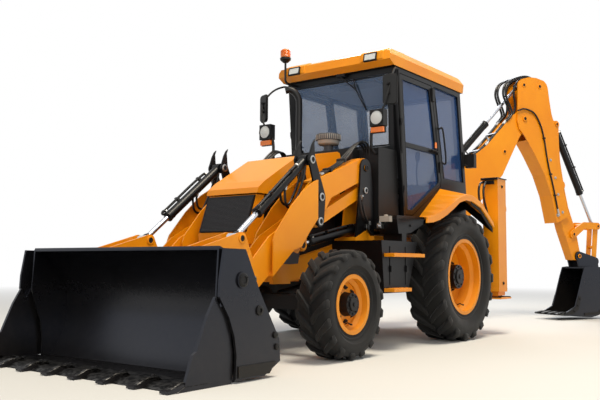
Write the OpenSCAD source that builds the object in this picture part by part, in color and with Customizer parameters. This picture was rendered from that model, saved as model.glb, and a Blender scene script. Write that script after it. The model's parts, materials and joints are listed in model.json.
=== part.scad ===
// Backhoe loader. X runs forwards, Y to the machine's left, Z up, in millimetres.
// Lengths are measured from the ground under the middle of the rear axle; at_frame() then centres
// the whole machine with its tools.

/* [Wheels] */
// between the two axles
wheelbase = 2170; // [2050:10:2300]
// rear tyre, radius over the lugs
rear_tyre_r = 685; // [640:5:720]
// rear tyre, width
rear_tyre_w = 420; // [380:5:425]
// rear tyre, middle to the machine's middle
rear_wheel_y = 940; // [938:2:960]
// rear rim, radius of the tyre's seat
rear_rim_r = 385; // [350:5:420]
// front tyre, radius over the lugs
front_tyre_r = 470; // [450:5:480]
// front tyre, width
front_tyre_w = 320; // [290:5:330]
// front tyre, middle to the machine's middle
front_wheel_y = 955; // [945:5:980]
// front rim, radius of the tyre's seat
front_rim_r = 235; // [215:5:260]
// lugs in each half of a rear tyre
rear_lugs = 19; // [15:1:21]
// height of the rear lugs
rear_lug_h = 32; // [22:1:40]
// lugs in each half of a front tyre
front_lugs = 17; // [14:1:20]
// height of the front lugs
front_lug_h = 26; // [18:1:32]
// steering pivot to the machine's middle
king_pin_y = 740; // [725:5:750]
// wheel spindle radius
spindle_r = 45; // [35:1:50]

/* [Chassis] */
// outer face of each frame rail to the middle
rail_y = 380; // [340:5:390]
// thickness of the rail plates
rail_t = 40; // [20:2:60]
// engine block, half width
engine_half_y = 250; // [200:5:280]
// side tank, outer face to the middle
tank_y = 950; // [850:10:980]
// side tank, height
tank_h = 500; // [400:10:520]

/* [Cab] */
// roof underside above the ground
roof_z = 2895; // [2850:5:2950]
// roof, half width
roof_half_y = 735; // [725:5:780]
// outer face of the cab sides to the middle
cab_y = 720; // [700:5:725]
// thickness of cab walls and doors
cab_t = 45; // [30:1:60]
// window glass thickness
glass_t = 6; // [4:1:10]
// running gap round each door
door_gap = 7; // [5:1:12]

/* [Loader] */
// middle of each loader arm to the machine's middle
arm_y = 540; // [530:5:550]
// gap between the two plates of an arm
arm_gap = 100; // [96:1:110]
// thickness of arm plates
arm_t = 14; // [10:1:20]
// thickness of lever, tower and bucket bracket plates
lever_t = 18; // [12:1:24]
// side gap between plates that turn past each other
side_gap = 7; // [5:1:12]
// loader pins, radius
loader_pin_r = 30; // [20:1:34]
// loader bucket, half width
bucket_half_y = 1165; // [1100:5:1200]
// number of bucket teeth
bucket_teeth = 8; // [5:1:10]

/* [Backhoe] */
// slew pivot behind the rear axle
slew_back = 1420; // [1400:5:1500]
// carriage to the machine's middle, to the left
carriage_y = -400; // [-550:10:550]
// angle of the boom from straight back, to the left
slew_angle = 25; // [0:1:60]
// half of the boom's width over its plates
boom_half_y = 100; // [94:1:101]
// thickness of boom plates
boom_t = 20; // [12:1:24]
// half of the dipper's width over its plates
dipper_half_y = 125; // [124:1:140]
// half of the sliding dipper's width
slide_half_y = 75; // [70:1:78]
// bucket width
hoe_bucket_w = 460; // [320:10:480]
// number of bucket teeth
hoe_teeth = 4; // [3:1:6]
// slew pin, radius
slew_pin_r = 40; // [30:1:50]

/* [Stabilisers] */
// outer face of each leg to the middle
leg_y = 1150; // [1120:5:1165]
// leg housing, width across the machine
leg_w = 190; // [160:5:200]
// foot plate, side
foot_side = 320; // [260:10:360]

/* [Fits] */
// radial clearance of a turning pin
pin_clear = 0.05; // [0.02:0.01:0.1]
// gap between a seated piece and what carries it
seat_gap = 0.3; // [0.2:0.1:0.5]
// clearance of a sliding box section
slide_clear = 0.5; // [0.3:0.1:1]
// hinge pins of doors and bonnet, radius
hinge_pin_r = 9; // [6:1:10]

/* [Hidden] */
$fn = 48;

orange = "orange";
black = "dimgray";
dark = "gray";
steel = "silver";
glass = "lightblue";

// loader pins as seen from the side: x forwards from the rear axle, z up
arm_pivot = [1250, 1770];
lever_pivot = [2015, 1425];
lever_drop = [10, -225];
tie_pivot = arm_pivot + lever_drop;
tie_front = lever_pivot + lever_drop;
lever_top = lever_pivot + [140, 330];
bucket_ram_pin = [3100, 1012];
bucket_hinge = bucket_ram_pin - [140, 330];
lift_base = [1225, 1180];
lift_eye = [2260, 980];
jaw_pivot = [3695, 699];
lift_barrel_len = 880;
tilt_barrel_len = 840;
arm_in = arm_gap / 2;
arm_out = arm_in + arm_t;
lever_in = arm_out + side_gap;
lever_out = lever_in + lever_t;

// hoe pins in the boom's own plane: x away from the slew pin, z up
boom_foot = [330, 750];
boom_tip = [2070, 2990];
boom_ram_post = [255, 1080];
boom_ram_base = [800, 1800];
dipper_ram_base = [660, 2130];
dipper_head = [2050, 3500];
hoe_ram_base = [2775, 2978];
hoe_lever_pin = [3055, 1292];
hoe_rod_eye = [3590, 1430];
hoe_hinge = [3165, 958];
hoe_link_pin = [3530, 880];
hoe_bucket_back = 3700;
dipper_t = 18;
post_half_y = boom_half_y - boom_t - side_gap;
slew_x = -slew_back;

front_reach = 4340;
rear_reach = slew_back + hoe_bucket_back * cos(slew_angle) + hoe_bucket_w / 2 * sin(slew_angle);
left_reach = carriage_y + hoe_bucket_back * sin(slew_angle) + hoe_bucket_w / 2 * cos(slew_angle);
mid_x = (front_reach - rear_reach) / 2;
mid_y = (left_reach - bucket_half_y - 12) / 2;

function unit(v) = v / norm(v);
function right_of(u) = [u.y, -u.x];
// the outline p, listed anticlockwise, with each edge moved outwards by d
function grown(p, d) = [for (i = [0 : len(p) - 1])
    let (n = len(p), a = p[(i + n - 1) % n], b = p[i], c = p[(i + 1) % n],
        n1 = right_of(unit(b - a)), n2 = right_of(unit(c - b)))
    b + (n1 + n2) * d / (1 + n1 * n2)];
function arc(c, r, a0, a1, n = 8) = [for (i = [0 : n])
    let (a = a0 + (a1 - a0) * i / n) c + r * [cos(a), sin(a)]];
function flip(p) = [for (i = [len(p) - 1 : -1 : 0]) p[i]];

module at_frame() {
    translate([-mid_x, -mid_y, 0]) children();
}

// a flat shape drawn as seen from the left, from y0 to y0 + t
module slab(y0, t) {
    translate([0, y0 + t, 0]) rotate([90, 0, 0]) linear_extrude(t) children();
}

module both_sides() {
    children();
    mirror([0, 1, 0]) children();
}

// a bar along Y
module cross_bar(p, y0, y1, r) {
    translate([p.x, y0, p.y]) rotate([-90, 0, 0]) cylinder(r = r, h = y1 - y0);
}

// a round bar from p towards q in the plane y
module round_bar(p, q, y, r, from, to) {
    d = q - p;
    translate([p.x, y, p.y]) rotate([0, atan2(d.x, d.y), 0])
        translate([0, 0, from]) cylinder(r = r, h = to - from);
}

// a link between two round ends, tangent edges
module link2d(p, q, r1, r2) {
    d = norm(q - p);
    u = (q - p) / d;
    v = [-u.y, u.x];
    s = (r1 - r2) / d;
    c = sqrt(1 - s * s);
    union() {
        translate(p) circle(r1);
        translate(q) circle(r2);
        polygon([p + r1 * (s * u + c * v), p + r1 * (s * u - c * v),
            q + r2 * (s * u - c * v), q + r2 * (s * u + c * v)]);
    }
}

module at_hoe() {
    at_frame() translate([slew_x, carriage_y, 0]) rotate([0, 0, 180 - slew_angle]) children();
}

// tyre lying on its side about Z, the wheel's outer side up: rings of points across its width, with
// the lugs of one half standing in the gaps of the other and both halves slanting to the shoulder
module tyre_ring(r, w, seat_r, lugs, lug_h) {
    n = 4 * lugs;
    h = r - seat_r;
    bead = w * 0.36;
    slant = 300 / lugs;
    half = [[bead, seat_r / cos(180 / n), 0], [bead, seat_r + 26, 0], [w / 2, seat_r + h * 0.5, 0],
        [w * 0.44, r, lug_h], [w * 0.02, r, lug_h]];
    // place along the axle, radius, lug height, slant of the ring and which points are lugs
    rings = concat([for (i = [0 : 4]) [-half[i][0], half[i][1], half[i][2], i < 4 ? slant : 0, 0]],
        [for (i = [4 : -1 : 0]) [half[i][0], half[i][1], half[i][2], i < 4 ? slant : 0, 2]]);
    points = [for (q = rings) for (i = [0 : n - 1])
        let (on_lug = (i + q[4]) % 4 < 2, a = (i - 0.5) * 360 / n - q[3], d = q[1] - (on_lug ? 0 : q[2]))
        [d * cos(a), d * sin(a), q[0]]];
    count = len(rings);
    faces = [for (k = [0 : count - 1]) for (i = [0 : n - 1])
        let (a = k * n + i, b = k * n + (i + 1) % n, c = ((k + 1) % count) * n + i,
            d = ((k + 1) % count) * n + (i + 1) % n)
        each [[a, c, b], [b, c, d]]];
    polyhedron(points, faces);
}

// rim with its disc and hub drum, outer side up; disc is the disc's place along the axle
module rim_dish(w, seat_r, disc, hub_r, hub_out, hub_in) {
    edge = w * 0.36;
    drop = seat_r - 30;
    skin = 14;
    difference() {
        union() {
            rotate_extrude($fn = 72) polygon([[seat_r - skin, edge + 12], [seat_r + 22, edge + 12],
                [seat_r + 22, edge], [seat_r, edge], [seat_r, edge * 0.62], [drop, edge * 0.45],
                [drop, -edge * 0.45], [seat_r, -edge * 0.62], [seat_r, -edge], [seat_r + 22, -edge],
                [seat_r + 22, -edge - 12], [seat_r - skin, -edge - 12],
                [seat_r - skin, -edge * 0.62], [drop - skin, -edge * 0.4],
                [drop - skin, edge * 0.4], [seat_r - skin, edge * 0.62]]);
            rotate_extrude($fn = 72) polygon([[0, disc - 9], [drop - 5, disc - 9], [drop - 5, disc + 9],
                [hub_r + 70, disc + 9], [hub_r, disc + 22], [0, disc + 22]]);
            translate([0, 0, hub_in]) cylinder(r = hub_r * 1.1, h = disc - hub_in);
            translate([0, 0, disc]) cylinder(r1 = hub_r, r2 = hub_r * 0.92, h = hub_out - disc);
        }
        translate([0, 0, hub_in - 1]) cylinder(r = spindle_r + pin_clear, h = disc - hub_in + 1);
    }
}

module front_wheel_place(side) {
    at_frame() translate([wheelbase, side * front_wheel_y, front_tyre_r]) rotate([-90 * side, 0, 0])
        children();
}

module rear_wheel_place(side) {
    at_frame() translate([0, side * rear_wheel_y, rear_tyre_r]) rotate([-90 * side, 0, 0]) children();
}

// places along each wheel's own axle, from the tyre's middle outwards
front_disc = 20;
front_hub_in = -130;
front_hub_out = 120;
rear_disc = -60;
rear_hub_in = -240;
rear_hub_out = 90;

module tyre_front(side) color(dark) front_wheel_place(side)
    tyre_ring(front_tyre_r, front_tyre_w, front_rim_r, front_lugs, front_lug_h);
module rim_front(side) color(orange) front_wheel_place(side)
    rim_dish(front_tyre_w, front_rim_r, front_disc, 105, front_hub_out, front_hub_in);
module tyre_rear(side) color(dark) rear_wheel_place(side)
    tyre_ring(rear_tyre_r, rear_tyre_w, rear_rim_r, rear_lugs, rear_lug_h);
module rim_rear(side) color(orange) rear_wheel_place(side)
    rim_dish(rear_tyre_w, rear_rim_r, rear_disc, 140, rear_hub_out, rear_hub_in);

module tyre_front_left() tyre_front(1);
module tyre_front_right() tyre_front(-1);
module tyre_rear_left() tyre_rear(1);
module tyre_rear_right() tyre_rear(-1);
module rim_front_left() rim_front(1);
module rim_front_right() rim_front(-1);
module rim_rear_left() rim_rear(1);
module rim_rear_right() rim_rear(-1);

// front axle: beam, a boss at each steering pivot and the pedestal under the nose
boss_r = 50;
boss_h = 150;
king_pin_r = 25;
fork_t = 28;
fork_gap = 3;

module front_axle() color(dark) at_frame() difference() {
    union() {
        slab(-king_pin_y + 90, 2 * king_pin_y - 180) translate([wheelbase, front_tyre_r])
            square([150, 130], center = true);
        translate([wheelbase, 0, front_tyre_r]) rotate([0, 0, 45]) sphere(r = 165);
        both_sides() {
            translate([wheelbase - 55, king_pin_y - 110, front_tyre_r - 55]) cube([110, 90, 110]);
            translate([wheelbase, king_pin_y, front_tyre_r - boss_h / 2])
                cylinder(r = boss_r, h = boss_h);
        }
        slab(-90, 180) polygon([[wheelbase - 210, 650], [wheelbase - 210, 570],
            [wheelbase - 120, 480], [wheelbase + 120, 480], [wheelbase + 210, 570],
            [wheelbase + 210, 650]]);
    }
    both_sides() translate([wheelbase, king_pin_y, front_tyre_r - boss_h])
        cylinder(r = king_pin_r + pin_clear, h = 2 * boss_h);
}

module knuckle(side) color(dark) at_frame() translate([wheelbase, side * king_pin_y, front_tyre_r])
    mirror([0, side > 0 ? 0 : 1, 0]) {
        half = boss_h / 2 + fork_gap;
        web_in = boss_r + 4;
        web_out = front_wheel_y - king_pin_y + front_hub_in - 6;
        spindle_end = front_wheel_y - king_pin_y + front_disc - 5;
        cylinder(r = king_pin_r, h = 2 * half + 2, center = true);
        for (z = [half, -half - fork_t]) translate([0, 0, z]) {
            cylinder(r = 48, h = fork_t);
            translate([-48, 0, 0]) cube([96, web_out, fork_t]);
        }
        translate([-48, web_in, -half - 1]) cube([96, web_out - web_in, 2 * half + 2]);
        cross_bar([0, 0], web_out - 1, spindle_end, spindle_r);
    }

module knuckle_left() knuckle(1);
module knuckle_right() knuckle(-1);

module rear_axle() color(dark) at_frame() {
    casing_out = rear_wheel_y + rear_hub_in - 6;
    spindle_out = rear_wheel_y + rear_disc - 5;
    cross_bar([0, rear_tyre_r], -casing_out, casing_out, 105);
    translate([0, 0, rear_tyre_r]) rotate([0, 0, 45]) sphere(r = 215);
    both_sides() {
        cross_bar([0, rear_tyre_r], casing_out - 60, casing_out, 150);
        cross_bar([0, rear_tyre_r], casing_out - 1, spindle_out, spindle_r);
    }
    // gearbox, and the shafts to the two axles
    translate([480, -200, 560]) cube([560, 400, 480]);
    round_bar([490, 690], [0, rear_tyre_r], 0, 38, 0, 300);
    round_bar([1030, 640], [wheelbase, front_tyre_r], 0, 38, 0, 955);
}

// frame rails, cross members, axle mounts and the loader towers
rail_front = 2400;
rail_back = -820;
rail_in = rail_y - rail_t;
engine_z = 720;

module rail_side() polygon([[rail_front, 631], [rail_front, 790], [1000, 1105], [600, 1120],
    [rail_back, 1120], [rail_back, 560], [-260, 560], [-260, 900], [260, 900], [320, 640],
    [1500, 640], [1850, 700], [2150, 655], [2150, 631]]);

module tower_side() polygon(concat([[1095, 1041], [1440, 1041], [1360, 1560]],
    arc(arm_pivot, 95, -10, 170, 10), [[1110, 1500]]));

module tower_plate() difference() {
    tower_side();
    translate(arm_pivot) circle(loader_pin_r + pin_clear);
    translate(tie_pivot) circle(loader_pin_r + pin_clear);
    translate(lift_base) circle(loader_pin_r + pin_clear);
}

module chassis_frame() color(orange) at_frame() {
    both_sides() {
        slab(rail_in, rail_t) rail_side();
        for (y = [arm_y - lever_out, arm_y + lever_in]) slab(y, lever_t) tower_plate();
        // tower foot, from the rail outwards
        slab(rail_y - 1, arm_y + lever_out - rail_y + 1)
            polygon([[1095, 1041], [1440, 1041], [1440, 1075], [1095, 1105]]);
        slab(arm_y - lever_out, 2 * lever_out)
            polygon([[1097, 1080], [1115, 1080], [1126, 1480], [1108, 1480]]);
    }
    // cross members: front, under the engine, over the gearbox, back
    for (m = [[rail_front - 60, 650, 780], [1600, 660, engine_z - seat_gap], [700, 1050, 1110],
        [rail_back, 650, 780]]) slab(-rail_in - 1, 2 * rail_in + 2)
            polygon([[m[0], m[1]], [m[0] + 60, m[1]], [m[0] + 60, m[2]], [m[0], m[2]]]);
    // front axle cradle
    slab(-rail_in - 1, 2 * rail_in + 2) polygon([[wheelbase - 200, 650.3], [wheelbase + 200, 650.3],
        [wheelbase + 200, 700], [wheelbase - 200, 700]]);
}

module engine() color(dark) at_frame()
    translate([1250, -engine_half_y, engine_z]) cube([950, 2 * engine_half_y, 700]);

// nose: the fixed front of the engine bay, leaning back at the grille
nose_half_y = 290;
nose_low = [2668, 1085];
nose_high = [2545, 1430];
grille_t = 18;

module nose() color(orange) at_frame() {
    slab(-nose_half_y, 2 * nose_half_y) polygon([[nose_low.x - 10, 985], [nose_low.x, nose_low.y],
        nose_low + [-grille_t, 0], nose_high + [-grille_t, 0], [2430, 1430], [2430, 985]]);
    // feet on the rails' front member
    both_sides() slab(120, 100) polygon([[2440, 985.5], [2440, 700], [2400.3, 700], [2400.3, 985.5]]);
}

module grille() color(dark) at_frame() {
    low = nose_low + 8 * unit(nose_high - nose_low);
    high = nose_high - 8 * unit(nose_high - nose_low);
    slab(-nose_half_y + 8, 2 * nose_half_y - 16)
        polygon([low, high, high + [-grille_t + seat_gap, 0], low + [-grille_t + seat_gap, 0]]);
}

// bonnet: a lid hinged at the cab end
bonnet_hinge = [1248, 1905];
bonnet_half_y = 310;
bonnet_wall = 10;

module bonnet_side() polygon([[2548, 1440], [2530, 1492], [2440, 1560], [1970, 1830], [1290, 1960],
    [1245, 1950], [1225, 1880], [1245, 1840], [1245, 1440]]);

module bonnet() color(orange) at_frame() {
    difference() {
        slab(-bonnet_half_y, 2 * bonnet_half_y) bonnet_side();
        slab(-bonnet_half_y + bonnet_wall, 2 * (bonnet_half_y - bonnet_wall))
            polygon([[2530, 1400], [2518, 1485], [2430, 1548], [1965, 1819], [1290, 1948],
                [1200, 1940], [1200, 1400]]);
    }
    cross_bar(bonnet_hinge, -bonnet_half_y + 5, bonnet_half_y - 5, hinge_pin_r);
}

// dark cowl between bonnet and windscreen, carrying exhaust and air cleaner
module scuttle() color(black) at_frame() {
    side = cab_y - cab_t - seat_gap;
    slab(-side, 2 * side) polygon([[665, 1165], [1085, 1165], [1085, 1998], [1050, 2010],
        [724, 2010]]);
    slab(-430, 860) polygon([[1084, 1870], [1190, 1880], [1190, 1998], [1084, 1998]]);
    // bonnet hinge knuckles
    for (y = [-220, 180]) difference() {
        slab(y, 40) union() {
            translate(bonnet_hinge) circle(20);
            translate([1185, bonnet_hinge.y - 15]) square([bonnet_hinge.x - 1185, 22]);
        }
        cross_bar(bonnet_hinge, y - 5, y + 45, hinge_pin_r + pin_clear);
    }
}

module exhaust() color(black) at_frame() translate([1143, -300, 1998 + seat_gap]) {
    cylinder(r = 37, h = 640);
    cylinder(r = 56, h = 40);
    translate([0, 0, 640]) rotate([0, 35, 0]) cylinder(r = 37, h = 110);
    translate([0, 0, 640]) sphere(r = 37);
}

module precleaner() color(dark) at_frame() translate([1010, 0, 2010.3]) {
    cylinder(r = 60, h = 60);
    translate([0, 0, 60]) cylinder(r1 = 60, r2 = 125, h = 30);
    translate([0, 0, 90]) cylinder(r = 135, h = 95);
    translate([0, 0, 185]) cylinder(r1 = 135, r2 = 60, h = 25);
}

module side_tanks() color(black) at_frame() {
    top = 1040;
    low = top - tank_h;
    both_sides() {
        slab(rail_y + seat_gap, tank_y - rail_y)
            polygon([[792, top], [964, low + 57], [990, low], [1440, low], [1490, top]]);
        // two steps on the outer face
        slab(tank_y - 1, 110) polygon([[847, 890], [1440, 890], [1440, 912], [847, 912]]);
        slab(tank_y - 1, 100) polygon([[1120, low + 20], [1440, low + 20], [1440, low + 42],
            [1120, low + 42]]);
    }
    // moulded box above the left tank
    slab(740, tank_y - 740) polygon([[918, 1129], [1010, 1120], [1010, top - 1], [1100, top - 1],
        [1100, 1116], [1164, 1113], [1207, 1282], [656, 1289], [657, 1226]]);
}

// mudguards: a sheet from the cab side, twisting down to its outer edge, with a skirt
fender_out = 1135;
fender_t = 22;
fender_inner = [[312, 1331], [215, 1399], [115, 1469], [20, 1535], [-80, 1604], [-187, 1678],
    [-330, 1674], [-480, 1670], [-640, 1660], [-858, 1600]];
fender_outer = [[906, 1279], [700, 1325], [518, 1387], [338, 1462], [170, 1532], [-3, 1574],
    [-161, 1577], [-380, 1520], [-513, 1437], [-724, 1298]];
fender_skirt = [[-740, 1240], [-513, 1378], [-378, 1455], [-159, 1509], [-2, 1517], [171, 1478],
    [321, 1399], [484, 1325], [641, 1269], [793, 1235], [920, 1225]];

module fender_sheet() {
    n = len(fender_inner);
    y0 = cab_y + seat_gap;
    corners = concat([for (q = fender_inner) [q.x, y0, q.y]], [for (q = fender_outer) [q.x, fender_out, q.y]],
        [for (q = fender_inner) [q.x, y0, q.y - fender_t]],
        [for (q = fender_outer) [q.x, fender_out, q.y - fender_t]]);
    faces = concat(
        [for (i = [0 : n - 2]) [i, n + i + 1, n + i]], [for (i = [0 : n - 2]) [i, i + 1, n + i + 1]],
        [for (i = [0 : n - 2]) [2 * n + i, 3 * n + i, 3 * n + i + 1]],
        [for (i = [0 : n - 2]) [2 * n + i, 3 * n + i + 1, 2 * n + i + 1]],
        [for (i = [0 : n - 2]) [i, 2 * n + i, 2 * n + i + 1, i + 1]],
        [for (i = [0 : n - 2]) [n + i, n + i + 1, 3 * n + i + 1, 3 * n + i]],
        [[0, n, 3 * n, 2 * n], [n - 1, 3 * n - 1, 4 * n - 1, 2 * n - 1]]);
    polyhedron(corners, faces);
}

module fenders() color(orange) at_frame() both_sides() {
    fender_sheet();
    slab(fender_out - 18, 18) polygon(concat(fender_skirt, fender_outer));
}

// cab sides: outline, door opening and rear side window, seen from the left
cab_side = [[-860, 1130], [640, 1130], [650, 1400], [722, 2010], [800, roof_z], [-740, roof_z],
    [-885, 1700]];
door_opening = [[455, 1335], [622, 1335], [655, 2010], [730, 2840], [5, 2840], [-225, 1780],
    [-205, 1700], [430, 1350]];
side_window = [[-285, 1800], [-55, 2840], [-675, 2840], [-815, 1800]];
door_rail_z = 2090;
door_edge = 48;

module cab_frame() color(black) at_frame() {
    both_sides() slab(cab_y - cab_t, cab_t) difference() {
        polygon(cab_side);
        polygon(door_opening);
        polygon(side_window);
    }
    inner = cab_y - cab_t + 1;
    // floor, windscreen foot and header, rear wall and header
    slab(-inner, 2 * inner) {
        polygon([[-860, 1130], [640, 1130], [640, 1164], [-860, 1164]]);
        polygon([[724, 2010 + seat_gap], [775, 2010 + seat_gap], [781, 2060], [728, 2060]]);
        polygon([[742, 2840], [794, 2840], [799, roof_z], [748, roof_z]]);
        polygon([[-860, 1160], [-815, 1160], [-835, 1700], [-825, 1800], [-872, 1800], [-885, 1700]]);
        polygon([[-745, 2840], [-690, 2840], [-685, roof_z], [-740, roof_z]]);
    }
    // door hinge pins, each with a foot on the front pillar
    both_sides() at_door_hinges() {
        translate([0, 0, -22]) cylinder(r = hinge_pin_r, h = door_hinge_h + 22);
        translate([-10, -door_hinge_out - 1, -22]) cube([20, door_hinge_out + 9, 20]);
    }
    // corner posts of windscreen and rear window
    both_sides() {
        slab(inner - 50, 51) polygon([[728, 2055], [780, 2055], [795, 2850], [743, 2850]]);
        slab(inner - 50, 51) polygon([[-872, 1790], [-825, 1790], [-695, 2850], [-745, 2850]]);
    }
}

module cab_glass() color(glass) at_frame() {
    pane_half = cab_y - cab_t - 49 - seat_gap;
    slab(-pane_half, 2 * pane_half) {
        polygon([[752, 2060.3], [758, 2060.3], [776, 2839.7], [770, 2839.7]]);
        polygon([[-852, 1800.3], [-846, 1800.3], [-718, 2839.7], [-724, 2839.7]]);
    }
    both_sides() slab(cab_y - cab_t / 2 - glass_t / 2, glass_t) polygon(grown(side_window, -seat_gap));
}

// door hinges stand outside the front pillar, on one line that leans back with it
door_hinge = [662, 1500];
door_hinge_end = [730, 2500];
door_hinge_out = 15;
door_hinge_r = 15;
door_hinge_h = 50;

module at_door_hinges() for (along = [90, 800]) {
    lean = atan2(door_hinge_end.x - door_hinge.x, door_hinge_end.y - door_hinge.y);
    translate([door_hinge.x, cab_y + door_hinge_out, door_hinge.y]) rotate([0, lean, 0])
        translate([0, 0, along]) children();
}

module door(side) color(black) at_frame() mirror([0, side > 0 ? 0 : 1, 0]) {
    edge = grown(door_opening, -door_gap);
    inner = grown(door_opening, -door_gap - door_edge);
    slab(cab_y - cab_t + 2, cab_t - 4) difference() {
        polygon(edge);
        polygon(inner);
    }
    slab(cab_y - cab_t + 2, cab_t - 4) intersection() {
        polygon(edge);
        translate([-400, door_rail_z - 25]) square([1300, 50]);
    }
    slab(cab_y - cab_t / 2 - glass_t / 2, glass_t) polygon(inner);
    // handle by the rear edge
    slab(cab_y - 3, 30) translate([-90, door_rail_z - 14]) square([130, 26]);
    // knuckles, each with a strap to the door's front edge
    difference() {
        at_door_hinges() {
            cylinder(r = door_hinge_r, h = door_hinge_h);
            translate([-62, -door_hinge_out + 1, 5]) cube([62, 8, door_hinge_h - 10]);
            translate([-62, -door_hinge_out - 3, 5]) cube([16, 6, door_hinge_h - 10]);
        }
        at_door_hinges() translate([0, 0, -5]) cylinder(r = hinge_pin_r + pin_clear, h = door_hinge_h + 10);
    }
}

module door_left() door(1);
module door_right() door(-1);

module cab_roof() color(black) at_frame() intersection() {
    slab(-roof_half_y - 10, 2 * roof_half_y + 20) translate([0, roof_z]) polygon([[-790, seat_gap],
        [870, seat_gap], [960, 50], [940, 145], [830, 190], [200, 215], [-650, 210], [-770, 175], [-800, 95]]);
    translate([-900, 0, roof_z]) rotate([90, 0, 90]) linear_extrude(2000) polygon([[-roof_half_y, 0],
        [roof_half_y, 0], [roof_half_y + 8, 105], [roof_half_y - 45, 185], [roof_half_y - 160, 220],
        [-roof_half_y + 160, 220], [-roof_half_y + 45, 185], [-roof_half_y - 8, 105]]);
}

// work lamps under the roof's front, headlamps on brackets, beacon, rear lamps
head_lamp = [1213, 728, 2280];

module cab_lamps() color(black) at_frame() {
    both_sides() {
        slab(430, 150) translate([0, roof_z]) polygon([[959.3, 55], [990, 57], [975, 140], [942.1, 137]]);
        // headlamp, indicator and bracket from the cowl
        translate([head_lamp.x - 90, head_lamp.y - 80, head_lamp.z - 85]) cube([90, 160, 170]);
        translate([head_lamp.x - 60, head_lamp.y - 75, head_lamp.z - 150]) cube([60, 150, 62]);
        translate([head_lamp.x - 60, head_lamp.y - 95, 1920]) cube([26, 26, head_lamp.z - 1920]);
        translate([1085 + seat_gap, head_lamp.y - 95, 1920]) cube([head_lamp.x - 34 - 1085 - seat_gap, 26, 40]);
    }
    // beacon on a stalk from the windscreen header
    translate([800, -632, 2850]) cube([197, 24, 24]);
    translate([985, -620, 2850]) cylinder(r = 12, h = 290);
    translate([985, -620, 3135]) cylinder(r = 62, h = 22);
    translate([985, -620, 3157]) cylinder(r1 = 58, r2 = 48, h = 110);
}

module mirrors() color(black) at_frame() both_sides() {
    translate([1110, 742, 2410]) cube([34, 165, 330]);
    round_bar([812, 2560], [1130, 2560], 790, 12, -15, 320);
    translate([772, 700, 2548]) cube([49, 100, 24]);
}

module seat() color(black) at_frame() {
    translate([-170, -230, 1560]) cube([470, 460, 110]);
    translate([-230, -220, 1640]) rotate([0, -8, 0]) cube([110, 440, 620]);
    translate([-60, -160, 1164.3]) cube([260, 320, 396]);
}

module console() color(black) at_frame() {
    translate([500, -220, 1164.3]) cube([130, 440, 640]);
    round_bar([560, 1790], [430, 2050], 0, 28, 0, 275);
    translate([435, 0, 2030]) rotate([0, -26, 0]) rotate_extrude() translate([190, 0]) circle(14, $fn = 24);
    translate([435, 0, 2030]) rotate([0, -26, 0]) translate([-195, -18, -8]) cube([390, 36, 16]);
    both_sides() translate([-420, 330, 1164.3]) cube([420, 130, 560]);
}

// rear frame: two beams for the carriage, between the leg housings
beam_x = -1120;
beam_t = 120;
top_beam = [1020, 1140];
low_beam = [500, 620];
leg_x = -940;
leg_len = 240;
leg_wall = 20;
leg_low = 500;
leg_high = 1830;

module rear_frame() color(orange) at_frame() {
    y_in = leg_y - leg_w;
    for (b = [top_beam, low_beam]) slab(-y_in - 1, 2 * y_in + 2)
        polygon([[beam_x, b[0]], [beam_x + beam_t, b[0]], [beam_x + beam_t, b[1]], [beam_x, b[1]]]);
    both_sides() {
        difference() {
            translate([leg_x - leg_len / 2, y_in, leg_low]) cube([leg_len, leg_w, leg_high - leg_low]);
            translate([leg_x - leg_len / 2 + leg_wall, y_in + leg_wall, leg_low - 1])
                cube([leg_len - 2 * leg_wall, leg_w - 2 * leg_wall, leg_high - leg_low - leg_wall + 1]);
        }
        // uprights from the beams forward to the rails
        slab(rail_in, rail_t) polygon([[beam_x + 1, 510], [rail_back - 0.3, 560], [rail_back - 0.3, 1120],
            [beam_x + 1, 1130]]);
    }
}

module stabiliser(side) color(orange) at_frame() mirror([0, side > 0 ? 0 : 1, 0]) {
    w = leg_w - 2 * leg_wall - 2 * slide_clear;
    l = leg_len - 2 * leg_wall - 2 * slide_clear;
    mid = leg_y - leg_w / 2;
    translate([leg_x - l / 2, mid - w / 2, 455]) cube([l, w, 1270]);
    translate([leg_x - foot_side / 2, mid - foot_side * 0.4, 418]) cube([foot_side, foot_side * 0.8, 16]);
    translate([leg_x - 60, mid - 50, 433]) cube([120, 100, 30]);
}

module stabiliser_left() stabiliser(1);
module stabiliser_right() stabiliser(-1);

// loader arms: two core plates a side from pivot to pivot, hollowed where the lever's pins pass at
// full lift, and from the lever forward two cheek plates outside them
cheek_in = lever_out + side_gap;
cheek_out = cheek_in + arm_t;
arm_spacers = [[2330, 1010], [2520, 900], [2400, 1120]];

module arm_side() polygon(concat(arc(arm_pivot, 105, 245, 68, 8), [[1960, 1620], [2140, 1560],
    [2200, 1520], [2275, 1400], [2298, 1268], [2491, 1165], [2726, 1043]],
    arc(bucket_hinge, 112, 35, -130, 8), [[2440, 935], [2330, 905]],
    arc(lift_eye, 58, -50, -190, 5), [[2205, 1110], [2085, 1225], [1900, 1325], [1823, 1432]]));

module cheek_side() polygon([[2092, 1575], [2140, 1560], [2290, 1480], [2491, 1306], [2700, 1072],
    [2730, 1000], [2730, 706], [2440, 935], [2340, 960], [2205, 1110], [2092, 1220]]);

module arm_plate() difference() {
    arm_side();
    translate(arm_pivot) circle(loader_pin_r);
    translate(lever_pivot) circle(loader_pin_r);
    translate(bucket_hinge) circle(loader_pin_r + pin_clear);
}

arm_tube = [2760, 800];

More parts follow.
